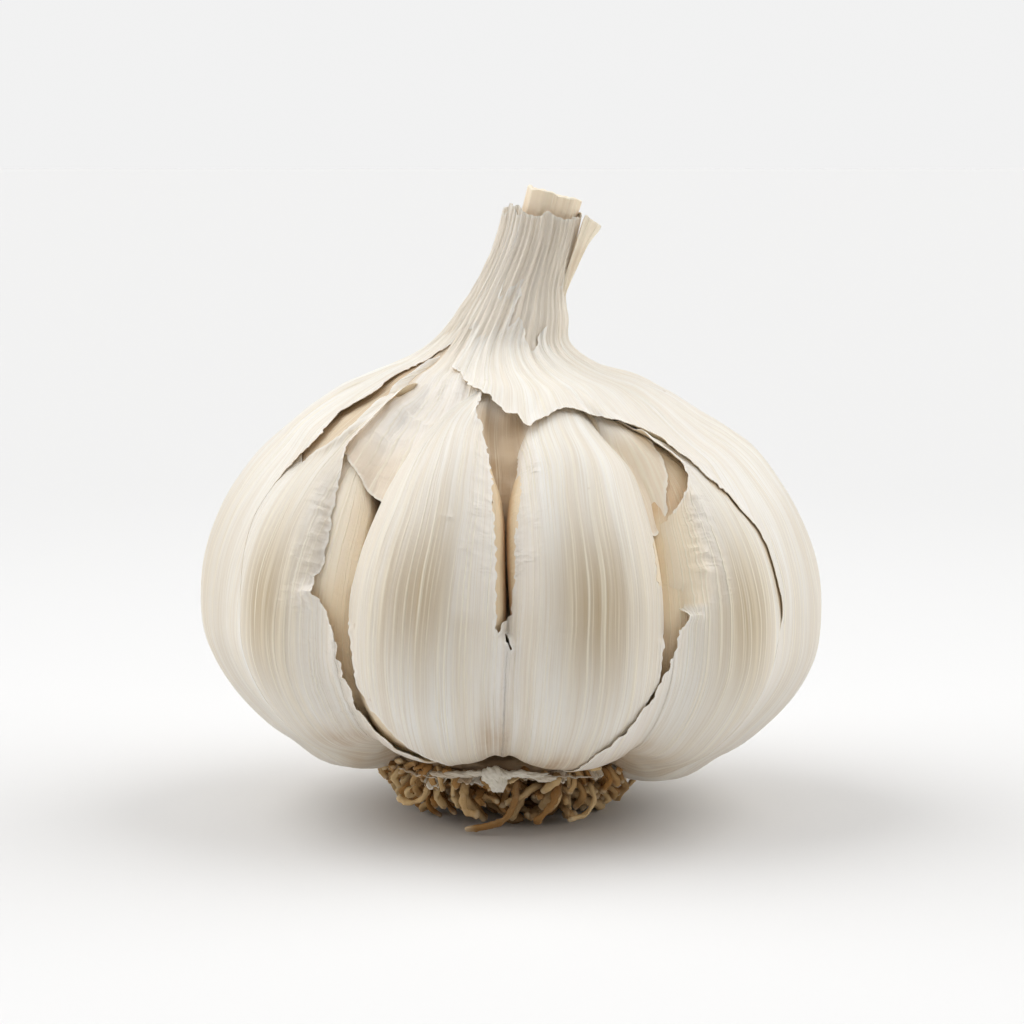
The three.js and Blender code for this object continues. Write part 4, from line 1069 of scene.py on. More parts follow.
    # painted shade: deep ochre on the front cloves' flanks where they turn into the slit between them, and on clove 2's
    # side in the cavity by the right leaf's lip
    slit_and_cavity_shade = np.zeros(len(Uf))
    if k in (0, 10):
        slit_and_cavity_shade = smooth(9.6, 12.3, Uf if k == 10 else -Uf) * smooth(24, 28, Tf) * (1 - smooth(37, 42, Tf))
    near = smooth(6.5, 12.0, Uf if k == 9 else -Uf) if k in (1, 9) else np.zeros(nv)
    high = smooth(27.5, 33.0, Tf) if k == 9 else np.zeros(nv)
    if k == 1:
        slit_and_cavity_shade = 0.55 * smooth(37, 39.5, Tf) * smooth(2.0, 6.0, -Uf)
    A = {"edge": np.full(nv, 5.0), "inner": np.zeros(nv), "purple": np.zeros(nv), "tan": (0.55 + 0.45 * fl) * (1 - 0.6 * high),
         "cream": 0.42 * high * (1 - 0.8 * near), "peach": 0.70 * high * near,
         "stain": 0.7 * smooth(12, 3, Tf), "fibre": np.zeros(nv), "crink": 0.10 + 0.22 * fl, "rib": np.zeros(nv), "deep": np.clip(0.10 * fl * smooth(16, 26, Tf) + 0.95 * slit_and_cavity_shade, 0, 1)}
    name = "clove_%02d" % (k + 1)
    ob = new_object(name + "_body", V, F, A, uv, sharp=60)
    ob.data.materials.append(mat)
    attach(ob, "root")
    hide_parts(name)
    return ob


def on_axis(x, y, z):
    return lean(x, y, z)


def flower_stalk(mat):
    """The dry stem: a stub of rolled leaf base, slanted at its cut, with a fold down its left front."""
    n, top_n = 96, 34
    a = np.linspace(-180, 180, n, endpoint=False)
    ar = np.radians(a)
    # a rounded, three-cornered section
    rad = 2.78 + 0.30 * np.cos(3 * (ar + math.radians(38))) + 0.16 * np.cos(2 * (ar - 0.4)) + 0.05 * np.sin(9 * ar) + 0.035 * np.sin(23 * ar + 1)
    rad += 0.10 * np.exp(-((a + 40) / 5) ** 2) - 0.12 * np.exp(-((a + 30) / 6) ** 2)
    Z0 = 22.0
    slant = 59.30 - 0.22 * 2.8 * np.sin(ar) + 0.07 * np.cos(5 * ar + 1) + 0.04 * np.cos(13 * ar)
    rows = []
    for s in 1 - (1 - np.linspace(0, 1, top_n)) ** 2.2:
        zz = Z0 + (slant - Z0) * s
        f = 1 - 0.28 * (1 - s)
        cx = np.interp(zz, [22, 40, 45.3, 47.8, 50.4, 53.0, 55.5, 58.2, 62], [0, -0.7, -1.7, -1.06, -0.45, 0.45, 1.27, 2.02, 2.85])
        rows.append(np.stack([cx + rad * f * np.sin(ar), -rad * f * np.cos(ar), zz], -1))
    top = rows[-1]
    c = top.mean(0)
    # the cut: a rounded pale rim, then a hollow of dry pith
    for q, dz in ((0.965, 0.10), (0.90, 0.12), (0.84, 0.02), (0.80, -0.45), (0.74, -1.25), (0.6, -1.55), (0.38, -1.5), (0.15, -1.6)):
        r = c + (top - c) * q
        r = r.copy()
        r[:, 2] += dz + (0.12 * np.sin(7 * ar + q * 9) + 0.08 * np.sin(17 * ar)) * (1 if q < 0.8 else 0.25)
        rows.append(r)
    P = np.array(rows)
    P = on_axis(P[..., 0], P[..., 1], P[..., 2])
    R_, C_ = P.shape[:2]
    V = P.reshape(-1, 3)
    idx = np.arange(R_ * C_).reshape(R_, C_)
    nxt = np.roll(idx, -1, 1)
    F = [tuple(x) for x in np.stack([idx[:-1], nxt[:-1], nxt[1:], idx[1:]], -1).reshape(-1, 4).tolist()]
    V = np.vstack([V, P[0].mean(0), P[-1].mean(0)])
    b, e = len(V) - 2, len(V) - 1
    F += [(b, int(nxt[0, j]), int(idx[0, j])) for j in range(C_)] + [(e, int(idx[-1, j]), int(nxt[-1, j])) for j in range(C_)]
    Uu = np.concatenate([np.repeat((a * 0.05)[None], R_, 0).ravel(), [0, 0]])
    Tt = np.concatenate([V[:-2, 2], [22, 60]])
    rim = np.zeros((R_, C_))
    rim[top_n - 2:top_n + 3] = 1
    pith = np.zeros((R_, C_))
    pith[top_n + 3:] = 1
    flat = lambda m: np.concatenate([m.ravel(), [0, m[-1, 0]]])
    uv = [(Uu[i] + 700, Tt[i]) for f in F for i in f]
    nv = len(V)
    A = {"edge": np.where(flat(rim) > 0, 0.0, 5.0), "inner": flat(pith), "purple": np.zeros(nv), "tan": np.full(nv, 0.80), "stain": np.zeros(nv), "fibre": np.full(nv, 0.6), "crink": np.zeros(nv), "rib": np.zeros(nv), "deep": np.zeros(nv)}
    ob = new_object("flower_stalk_dry", V, F, A, uv, sharp=55)
    ob.data.materials.append(mat)
    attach(ob, "root")
    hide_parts("flower_stalk")
    return ob


def neck_flake(mat):
    """A dry strip that has come away on the right of the neck and bends outward at its tip."""
    n, m = 44, 15
    s = np.linspace(0, 1, n)
    px = np.interp(s, [0, 0.2, 0.45, 0.7, 0.88, 1], [4.95, 5.45, 6.15, 6.90, 7.50, 7.85])
    py = np.interp(s, [0, 0.3, 0.7, 1], [-0.6, -0.85, -0.95, -0.9])
    pz = np.interp(s, [0, 0.2, 0.45, 0.7, 0.88, 1], [49.6, 51.2, 53.0, 54.7, 55.9, 56.6])
    k = np.exp(-0.5 * (np.arange(-5, 6) / 2.4) ** 2)
    k /= k.sum()
    sm = lambda q: np.convolve(np.pad(q, 5, mode="reflect", reflect_type="odd"), k, mode="valid")
    px, py, pz = sm(px), sm(py), sm(pz)
    w = np.interp(s, [0, 0.12, 0.35, 0.7, 0.9, 1], [0.30, 0.50, 0.80, 1.10, 1.22, 1.22])
    v = np.linspace(-1, 1, m)
    # its width runs back and to the right, so that its outer face shows from the front
    wx, wy = 0.62, 0.78
    bow = 0.34 * (1 - v[None] ** 2) * (1 - 0.3 * s[:, None]) + 0.05 * np.sin(v[None] * 8 + s[:, None] * 5)
    rag = 0.16 * pn(v[None] * 3.1, s[:, None] * 0 + 2.0, 5) * smooth(0.86, 1.0, s)[:, None]
    X = px[:, None] + v[None] * w[:, None] * wx + bow * 0.55 + rag * 0.5
    Y = py[:, None] + v[None] * w[:, None] * wy - bow * 0.75
    Z = pz[:, None] - bow * 0.20 + rag - 0.55 * v[None] * smooth(0.6, 1, s)[:, None]
    P = np.stack([X, Y, Z], -1)
    d_edge = (1 - np.abs(v))[None] * w[:, None]
    f = np.minimum(d_edge, (1 - s)[:, None] * 10.0) + 0.001
    U = np.repeat((v * 2.0 + 820)[None], n, 0)
    T = np.repeat((s * 11)[:, None], m, 1)
    z = np.zeros((n, m))
    A = {"purple": z, "tan": z + 0.35, "stain": z + 0.35 * smooth(0.1, 0.4, s)[:, None] * (1 - smooth(0.5, 0.75, s))[:, None], "fibre": z + 0.2, "crink": z, "rib": z, "deep": z}
    V, F, A, L = sheet_mesh(P, f, 0.24, A, np.stack([U, T], -1), rim=0.55, least=0.0)
    ob = new_object("neck_flake_strip", V, F, A, L)
    ob.data.materials.append(mat)
    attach(ob, "root")
    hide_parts("neck_flake")
    return ob


def basal_plate(mat):
    """The corky disc the roots grow from, its rim frilled with the tattered ends of old skins."""
    n = 180
    a = np.linspace(0, 2 * np.pi, n, endpoint=False)
    prof_rz = [(0.3, 7.2), (6.0, 7.25), (10.5, 7.1), (12.3, 6.85), (12.75, 6.45), (12.6, 6.0), (12.0, 5.65), (10.6, 5.35), (8.0, 5.1), (5.0, 4.95), (2.5, 4.9), (0.3, 4.9)]
    # finer rings
    pr = np.array(prof_rz)
    s = np.concatenate([[0], np.cumsum(np.hypot(*np.diff(pr, axis=0).T))])
    q = np.linspace(0, s[-1], 46)
    pr = np.stack([np.interp(q, s, pr[:, 0]), np.interp(q, s, pr[:, 1])], 1)
    rows = []
    for r, z in pr:
        bump = 0.28 * pn(np.cos(a) * r * 0.7, np.sin(a) * r * 0.7 + z, 201) + 0.14 * pn(np.cos(a) * r * 1.9, np.sin(a) * r * 1.9 + z, 202)
        rr = r * (1 + 0.012 * pn(np.cos(a) * 3 + 9, np.sin(a) * 3, 203)) + (bump * 0.6 if r > 11.5 else 0)
        low = 1.0 if z < 6.0 else 0.2
        rows.append(np.stack([rr * np.sin(a), -rr * np.cos(a), z + bump * low], -1))
    P = np.array(rows)[::-1]
    R_, C_ = P.shape[:2]
    V = P.reshape(-1, 3)
    idx = np.arange(R_ * C_).reshape(R_, C_)
    nxt = np.roll(idx, -1, 1)
    F = [tuple(x) for x in np.stack([idx[:-1], nxt[:-1], nxt[1:], idx[1:]], -1).reshape(-1, 4).tolist()]
    V = np.vstack([V, P[0].mean(0), P[-1].mean(0)])
    b, e = len(V) - 2, len(V) - 1
    F += [(b, int(nxt[0, j]), int(idx[0, j])) for j in range(C_)] + [(e, int(idx[-1, j]), int(nxt[-1, j])) for j in range(C_)]
    A = {"tint": np.zeros(len(V)), "edge": np.full(len(V), 5.0), "papery": np.zeros(len(V))}
    parts = [(V, F)]
    tints = [np.zeros(len(V))]
    paper = [np.zeros(len(V))]
    rng = np.random.default_rng(77)
    # tattered skin ends: short curled flaps hanging from the rim, all round
    for i in range(74):
        az = rng.uniform(-180, 180)
        wd, ln = rng.uniform(0.7, 2.0), rng.uniform(0.5, 1.35)
        r0 = rng.uniform(12.4, 13.2)
        parts.append(flap(az, r0, rng.uniform(5.3, 6.0), wd, ln, rng.uniform(-0.4, 1.0), rng.uniform(-0.5, 0.5), int(rng.integers(1e6))))
        tints.append(np.full(len(parts[-1][0]), rng.uniform(0, 1)))
        paper.append(np.ones(len(parts[-1][0])))
    # the pale crumb of crumpled skin at the front, and the flat torn ridge that runs along the lip from it
    for az, ro, z0, sx, sy, sz, sd, tn in ((-6.6, 13.95, 5.85, 1.15, 0.55, 0.80, 31, 1.0), (-4.9, 14.05, 5.15, 0.80, 0.50, 0.90, 32, 1.0), (-2.6, 13.95, 5.9, 0.75, 0.45, 0.45, 33, 1.0),
                                           (2.4, 13.95, 6.05, 1.50, 0.34, 0.30, 34, 1.0), (8.0, 13.85, 5.85, 1.50, 0.30, 0.28, 35, 0.95), (13.5, 13.75, 5.45, 1.10, 0.30, 0.30, 36, 0.8),
                                           (-12.5, 13.85, 6.0, 1.35, 0.28, 0.26, 37, 0.85), (-19.5, 13.7, 5.75, 1.60, 0.28, 0.28, 38, 0.7), (-28.0, 13.5, 5.5, 1.50, 0.30, 0.26, 39, 0.6)):
        parts.append(crumb(az, ro, z0, sx, sy, sz, sd))
        tints.append(np.full(len(parts[-1][0]), tn))
        paper.append(np.ones(len(parts[-1][0])))
    # rolled strips that lie along the rim
    for a0, a1, r0, z0, rr in ((18, 34, 13.6, 5.5, 0.16), (-52, -30, 13.4, 5.3, 0.16), (80, 104, 13.4, 5.2, 0.2), (150, 176, 13.3, 5.2, 0.22), (-140, -118, 13.4, 5.2, 0.2)):
        aa = np.radians(np.linspace(a0, a1, 40))
        q = np.linspace(0, 1, 40)
        wv = 0.22 * pn(q * 6, 0 * q + a0, 66)
        pth = np.stack([(r0 + wv) * np.sin(aa), -(r0 + wv) * np.cos(aa), z0 - 0.4 * q ** 2 + 0.25 * pn(q * 5, 0 * q + a0, 67)], -1)
        rad = rr * (0.45 + 0.55 * np.sin(0.2 + q * 2.7)) * (1 + 0.3 * pn(q * 14, 0 * q + a0, 68))
        Vt, Ft, _ = tube_mesh(pth, np.stack([rad * 1.3, rad * 0.6], 1), 8)
        parts.append((Vt, Ft))
        tints.append(np.full(len(Vt), 0.6))
        paper.append(np.ones(len(Vt)))
    V, F = merge(parts)
    A = {"tint": np.concatenate(tints), "papery": np.concatenate(paper)}
    ob = new_object("basal_plate_cork", V, F, A, None, sharp=50)
    ob.data.materials.append(mat)
    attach(ob, "root")
    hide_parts("basal_plate")
    return ob


def crumb(az, r0, z0, sx, sy, sz, seed):
    """A small crushed lump of dry skin, all folds and hollows."""
    n, m = 34, 56
    ph = np.linspace(0.05, math.pi - 0.05, n)[:, None]
    th = np.linspace(0, 2 * math.pi, m, endpoint=False)[None]
    x, y, z = np.sin(ph) * np.cos(th), np.sin(ph) * np.sin(th), np.cos(ph) + 0 * th
    k = max(1.0, sx / 0.8)
    fold = lambda f, sd: 1 - 2 * np.abs(pn((x * k + z * 0.6) * f + seed, (z - y * 0.8) * f + 0.37 * seed, sd))
    rr = 0.78 + 0.30 * fold(0.95, 91) + 0.10 * fold(1.9, 92) + 0.05 * pn(x * k * 2.6 + seed, z * 2.6 + y * 2.0, 93)
    X, Y, Z = x * rr * sx, y * rr * sy, z * rr * sz
    a = math.radians(az)
    r = r0 - Y - (X * X) / (2 * r0)
    P = np.stack([r * math.sin(a) + X * math.cos(a), -r * math.cos(a) + X * math.sin(a), z0 + Z + 0.12 * pn(X * 1.4 + seed, 0 * X, 94)], -1)
    idx = np.arange(n * m).reshape(n, m)
    nxt = np.roll(idx, -1, 1)
    F = [tuple(int(i) for i in q) for q in np.stack([idx[:-1], idx[1:], nxt[1:], nxt[:-1]], -1).reshape(-1, 4)]
    V = np.vstack([P.reshape(-1, 3), P[0].mean(0), P[-1].mean(0)])
    F += [(n * m, int(idx[0, j]), int(nxt[0, j])) for j in range(m)] + [(n * m + 1, int(nxt[-1, j]), int(idx[-1, j])) for j in range(m)]
    # turned so that every face looks outwards
    vol = sum(float(np.dot(V[f[0]], np.cross(V[f[i]], V[f[i + 1]]))) for f in F for i in range(1, len(f) - 1))
    if vol < 0:
        F = [f[::-1] for f in F]
    return V, F


def flap(az, r0, z0, width, length, out, roll, seed, thick=0.16):
    """A small curled piece of torn skin hanging from the plate's rim."""
    n, m = 12, 14
    s = np.linspace(0, 1, n)[:, None]
    v = np.linspace(-1, 1, m)[None]
    da = np.degrees(width / r0) * 0.5
    TH = az + v * da * (1 - 0.25 * s) + 3.0 * roll * s
    rag = 1 + 0.35 * pn(v * 2.7 + seed % 97, s * 0 + 0.5, seed % 89)
    ln = length * rag
    r = r0 - 0.6 * (1 - s) + out * s ** 1.6 * length * 0.6 + 0.22 * np.cos(v * 3 + seed) + 0.12 * pn(v * 3, s * 2.5, seed % 83)
    z = z0 - ln * s * (1 - 0.15 * s) + 0.10 * pn(v * 4, s * 3 + 7, seed % 79)
    a = np.radians(TH)
    P = np.stack([r * np.sin(a), -r * np.cos(a), z + 0 * a], -1)[::-1]
    f = np.full((n, m), 5.0)
    V, F, A, L = sheet_mesh(P, f, thick, None, None, rim=0.6, least=0.0)
    return V, F


def root_tuft(mat):
    """Stubby dry roots, curled and pressed flat where the bulb stands on them."""
    rng = np.random.default_rng(4242)
    parts, tint, along, taken = [], [], [], []

    def bowl(z):
        return 8.4 + 5.3 * np.clip(z / 4.6, 0, 1) ** 0.62

    def lay(pts, rad, seed):
        """The root along a given path."""
        taken.append((pts, rad))
        s = np.linspace(0, 1, len(pts))
        R = rad * (1.0 - 0.12 * s) * (1 + 0.12 * np.sin(seed + s * 9) + 0.07 * np.sin(seed * 2.3 + s * 23))
        R[-1] *= 0.82
        R = np.maximum(R, 0.12)
        tip = pts[-1] + (pts[-1] - pts[-2]) * 0.22
        pts = np.vstack([pts, tip])
        R = np.append(R, R[-1] * 0.60)
        fl = rng.uniform(1.0, 1.3)
        V, F, _ = tube_mesh(pts, np.stack([R * fl, R * (1.95 - fl)], 1), 10, twist=rng.uniform(-2, 2))
        # dried and wrinkled: lumps, and furrows along it
        c = np.vstack([np.repeat(pts, 10, 0), pts[0], pts[-1]])
        out = V - c
        lump = 0.30 * pn(V[:, 0] * 1.6 + seed, V[:, 2] * 1.6 + V[:, 1] * 1.3, 71) + 0.30 * pn(V[:, 0] * 3.3, V[:, 2] * 3.1 + V[:, 1] * 2.7 + seed, 72)
        V = c + out * (1 + lump)[:, None]
        V[:, 2] = np.maximum(V[:, 2], 0.0)
        s = np.append(s, 1.0)
        parts.append((V, F))
        tint.append(np.full(len(V), rng.uniform(0, 1)))
        along.append(np.concatenate([np.repeat(s, 10), [0, 1]]))

    def grow(az, r0, z0, heading, dive, length, rad, bend, seed, rise=0.0, limit=0.0, loose=0.80, hold=None):
        """Adds one root unless it would run into those already there."""
        n = max(8, int(length / 0.36))
        st = length / n
        a = math.radians(az)
        p = np.array([r0 * math.sin(a), -r0 * math.cos(a), z0])
        hd, dv = heading, dive
        pts = [p.copy()]
        for i in range(n):
            hd += bend * st + 0.30 * math.sin(seed + i * 1.1) * st * 1.7
            dv += rise * st + 0.20 * math.sin(seed * 1.7 + i * 0.9) * st * 1.6
            d = np.array([math.sin(hd) * math.cos(dv), -math.cos(hd) * math.cos(dv), -math.sin(dv)])
            q = p + d * st
            if q[2] < rad * 0.94:
                q[2] = rad * 0.94
                dv = min(dv, 0.04)
            rr = math.hypot(q[0], q[1])
            lim = bowl(q[2]) - rad - limit
            if rr > lim:
                q[:2] *= lim / rr
            p = q
            pts.append(p.copy())
        pts = np.array(pts)
        if taken:
            T = np.vstack([x[0] for x in taken])
            Rr = np.concatenate([np.full(len(x[0]), x[1]) for x in taken])
            body = pts[2:]
            d = np.linalg.norm(body[:, None] - T[None], axis=2) - loose * (rad + Rr)[None]
            if d.min() < 0:
                return False
        lay(pts, rad, seed)
        return True

    def spread(tries, make):
        return sum(bool(make()) for _ in range(tries))

    # the long ones that lie at the front, over the others
    for line, rd in (([(0.5, -12.4, 5.0), (0.4, -13.1, 3.2), (-0.3, -13.4, 1.7), (-2.0, -13.4, 0.9), (-4.2, -12.9, 0.55)], 0.36),
                     ([(4.3, -12.0, 4.6), (4.0, -12.9, 3.0), (3.0, -13.1, 1.9), (2.4, -12.6, 1.3), (2.6, -12.0, 1.0)], 0.36),
                     ([(-4.2, -12.2, 4.8), (-4.5, -12.8, 3.4), (-4.2, -12.9, 2.2), (-3.0, -13.0, 1.9)], 0.34),
                     ([(7.4, -10.6, 4.4), (7.9, -10.9, 2.8), (7.0, -11.2, 1.5), (5.4, -11.9, 1.2)], 0.36),
                     ([(-7.6, -10.4, 4.4), (-8.2, -10.7, 2.9), (-9.6, -9.9, 2.3), (-10.6, -8.8, 2.7)], 0.35)):
        q = np.array(line, float)
        u = np.linspace(0, len(q) - 1, 30)
        k = np.exp(-0.5 * (np.arange(-4, 5) / 2.0) ** 2)
        k /= k.sum()
        lay(np.stack([np.convolve(np.pad(np.interp(u, range(len(q)), q[:, j]), 4, mode="reflect", reflect_type="odd"), k, mode="valid") for j in range(3)], 1), rd, rd * 37)
    for az, hd, dv, ln, rd, bd, rs in ((22, 35, 1.25, 4.2, 0.46, -0.22, -0.1), (-22, 12, 1.3, 4.0, 0.46, 0.25, -0.08), (14, -80, 0.35, 4.0, 0.42, 0.10, 0.0), (-33, -75, 0.8, 4.6, 0.45, 0.18, -0.05),
                                      (31, 75, 0.7, 4.2, 0.44, -0.2, -0.04), (2, 80, 0.45, 3.4, 0.42, -0.12, 0.02)):
        grow(az, 11.6, 4.4, math.radians(hd), dv, ln, rd, bd, az * 1.3, rise=rs)
    # outermost: short blunt stubs hanging from under the rim, with gaps between
    spread(760, lambda: grow(az := rng.uniform(-180, 180), rng.uniform(11.6, 12.9), rng.uniform(5.2, 6.2), math.radians(az) + rng.normal(0, 1.1), rng.uniform(-0.1, 1.35),
                             rng.uniform(1.0, 2.8), rng.uniform(0.25, 0.43), rng.choice([-1, 1]) * rng.uniform(0.05, 0.6), rng.uniform(0, 50), rise=rng.uniform(-0.08, 0.15), loose=0.86))
    # next: longer, curling under or along the side
    spread(640, lambda: grow(az := rng.uniform(-180, 180), rng.uniform(9.5, 12.0), rng.uniform(3.4, 5.0), math.radians(az) + rng.choice([-1, 1]) * rng.uniform(0.3, 1.7), rng.uniform(0.1, 1.2),
                             rng.uniform(1.8, 4.6), rng.uniform(0.28, 0.46), rng.choice([-1, 1]) * rng.uniform(0.05, 0.4), rng.uniform(0, 50), rise=rng.uniform(-0.12, 0.02), loose=0.86))
    # lying on the ground
    spread(420, lambda: grow(az := rng.uniform(-180, 180), rng.uniform(3.0, 10.0), rng.uniform(0.8, 3.2), math.radians(rng.uniform(-180, 180)), rng.uniform(0.1, 0.7),
                             rng.uniform(3.2, 7.0), rng.uniform(0.38, 0.60), rng.choice([-1, 1]) * rng.uniform(0.05, 0.35), rng.uniform(0, 50), rise=-0.1, loose=0.80))
    # the dense middle that fills the tuft, set back behind the rest
    spread(300, lambda: grow(az := rng.uniform(-180, 180), 11.0 * math.sqrt(rng.uniform(0, 1)), 5.4, math.radians(az) + rng.normal(0, 0.8), rng.uniform(0.8, 1.5),
                             rng.uniform(3.0, 6.5), rng.uniform(0.44, 0.62), rng.choice([-1, 1]) * rng.uniform(0.05, 0.35), rng.uniform(0, 50), rise=-0.05, limit=0.9, loose=0.55))
    V, F = merge(parts)
    A = {"tint": np.concatenate(tint), "along": np.concatenate(along)}
    ob = new_object("root_tuft_roots", V, F, A, None, sharp=70)
    ob.data.materials.append(mat)
    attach(ob, "root")
    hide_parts("root_tuft")
    print("roots:", len(parts), "triangles:", sum(len(f) - 2 for f in F))
    return ob


# ---- finishes ------------------------------------------------------------------------------------------
class Graph:
    """A small helper to write a node tree."""

    def __init__(self, name):
        self.mat = bpy.data.materials.new(name)
        self.mat.use_nodes = True
        self.t = self.mat.node_tree
        self.t.nodes.clear()
        self.out = self.t.nodes.new("ShaderNodeOutputMaterial")
        self.bsdf = self.t.nodes.new("ShaderNodeBsdfPrincipled")
        self.t.links.new(self.bsdf.outputs[0], self.out.inputs[0])

    def put(self, sock, v):
        if isinstance(v, bpy.types.NodeSocket):
            self.t.links.new(v, sock)
        elif isinstance(v, (tuple, list)) and len(v) == 3 and sock.type == "RGBA":
            sock.default_value = (*v, 1.0)
        else:
            sock.default_value = v

    def math(self, op, a, b=None, c=None, clamp=False):
        n = self.t.nodes.new("ShaderNodeMath")
        n.operation = op
        n.use_clamp = clamp
        for i, v in enumerate((a, b, c)):
            if v is not None:
                self.put(n.inputs[i], v)
        return n.outputs[0]

    def attr(self, name):
        n = self.t.nodes.new("ShaderNodeAttribute")
        n.attribute_name = name
        return n.outputs["Fac"]

    def mix(self, fac, a, b, kind="MIX"):
        n = self.t.nodes.new("ShaderNodeMix")
        n.data_type = "RGBA"
        n.blend_type = kind
        self.put(n.inputs[0], fac)
        self.put(n.inputs[6], a)
        self.put(n.inputs[7], b)
        return n.outputs[2]

    def vec(self, x, y, z=0.0):
        n = self.t.nodes.new("ShaderNodeCombineXYZ")
        for i, v in enumerate((x, y, z)):
            self.put(n.inputs[i], v)
        return n.outputs[0]

    def noise(self, v, scale=1.0, detail=2.0, rough=0.5, dim="3D"):
        n = self.t.nodes.new("ShaderNodeTexNoise")
        n.noise_dimensions = dim
        self.put(n.inputs["Vector"], v)
        n.inputs["Scale"].default_value = scale
        n.inputs["Detail"].default_value = detail
        n.inputs["Roughness"].default_value = rough
        return n.outputs["Fac"]

    def cells(self, w, scale):
        """Distance to the nearest of some random places along a line."""
        n = self.t.nodes.new("ShaderNodeTexVoronoi")
        n.voronoi_dimensions = "1D"
        n.feature = "F1"
        self.put(n.inputs["W"], w)
        n.inputs["Scale"].default_value = scale
        n.inputs["Randomness"].default_value = 1.0
        return n.outputs["Distance"]

    def step(self, v, a, b):
        """Smooth 0..1 as v goes from a to b."""
        n = self.t.nodes.new("ShaderNodeMapRange")
        n.interpolation_type = "SMOOTHSTEP"
        self.put(n.inputs[0], v)
        n.inputs[1].default_value = a
        n.inputs[2].default_value = b
        n.inputs[3].default_value = 0.0
        n.inputs[4].default_value = 1.0
        return n.outputs[0]

    def bump(self, height, dist, strength=1.0, under=None):
        n = self.t.nodes.new("ShaderNodeBump")
        n.inputs["Strength"].default_value = strength
        n.inputs["Distance"].default_value = dist
        self.put(n.inputs["Height"], height)
        if under is not None:
            self.put(n.inputs["Normal"], under)
        return n.outputs[0]

    def coords(self, layer="grain"):
        n = self.t.nodes.new("ShaderNodeUVMap")
        n.uv_map = layer
        s = self.t.nodes.new("ShaderNodeSeparateXYZ")
        self.t.links.new(n.outputs[0], s.inputs[0])
        return s.outputs[0], s.outputs[1]

    def place(self):
        n = self.t.nodes.new("ShaderNodeTexCoord")
        return n.outputs["Object"]

    def scaled(self, v, k):
        n = self.t.nodes.new("ShaderNodeVectorMath")
        n.operation = "SCALE"
        self.put(n.inputs[0], v)
        n.inputs["Scale"].default_value = k
        return n.outputs[0]


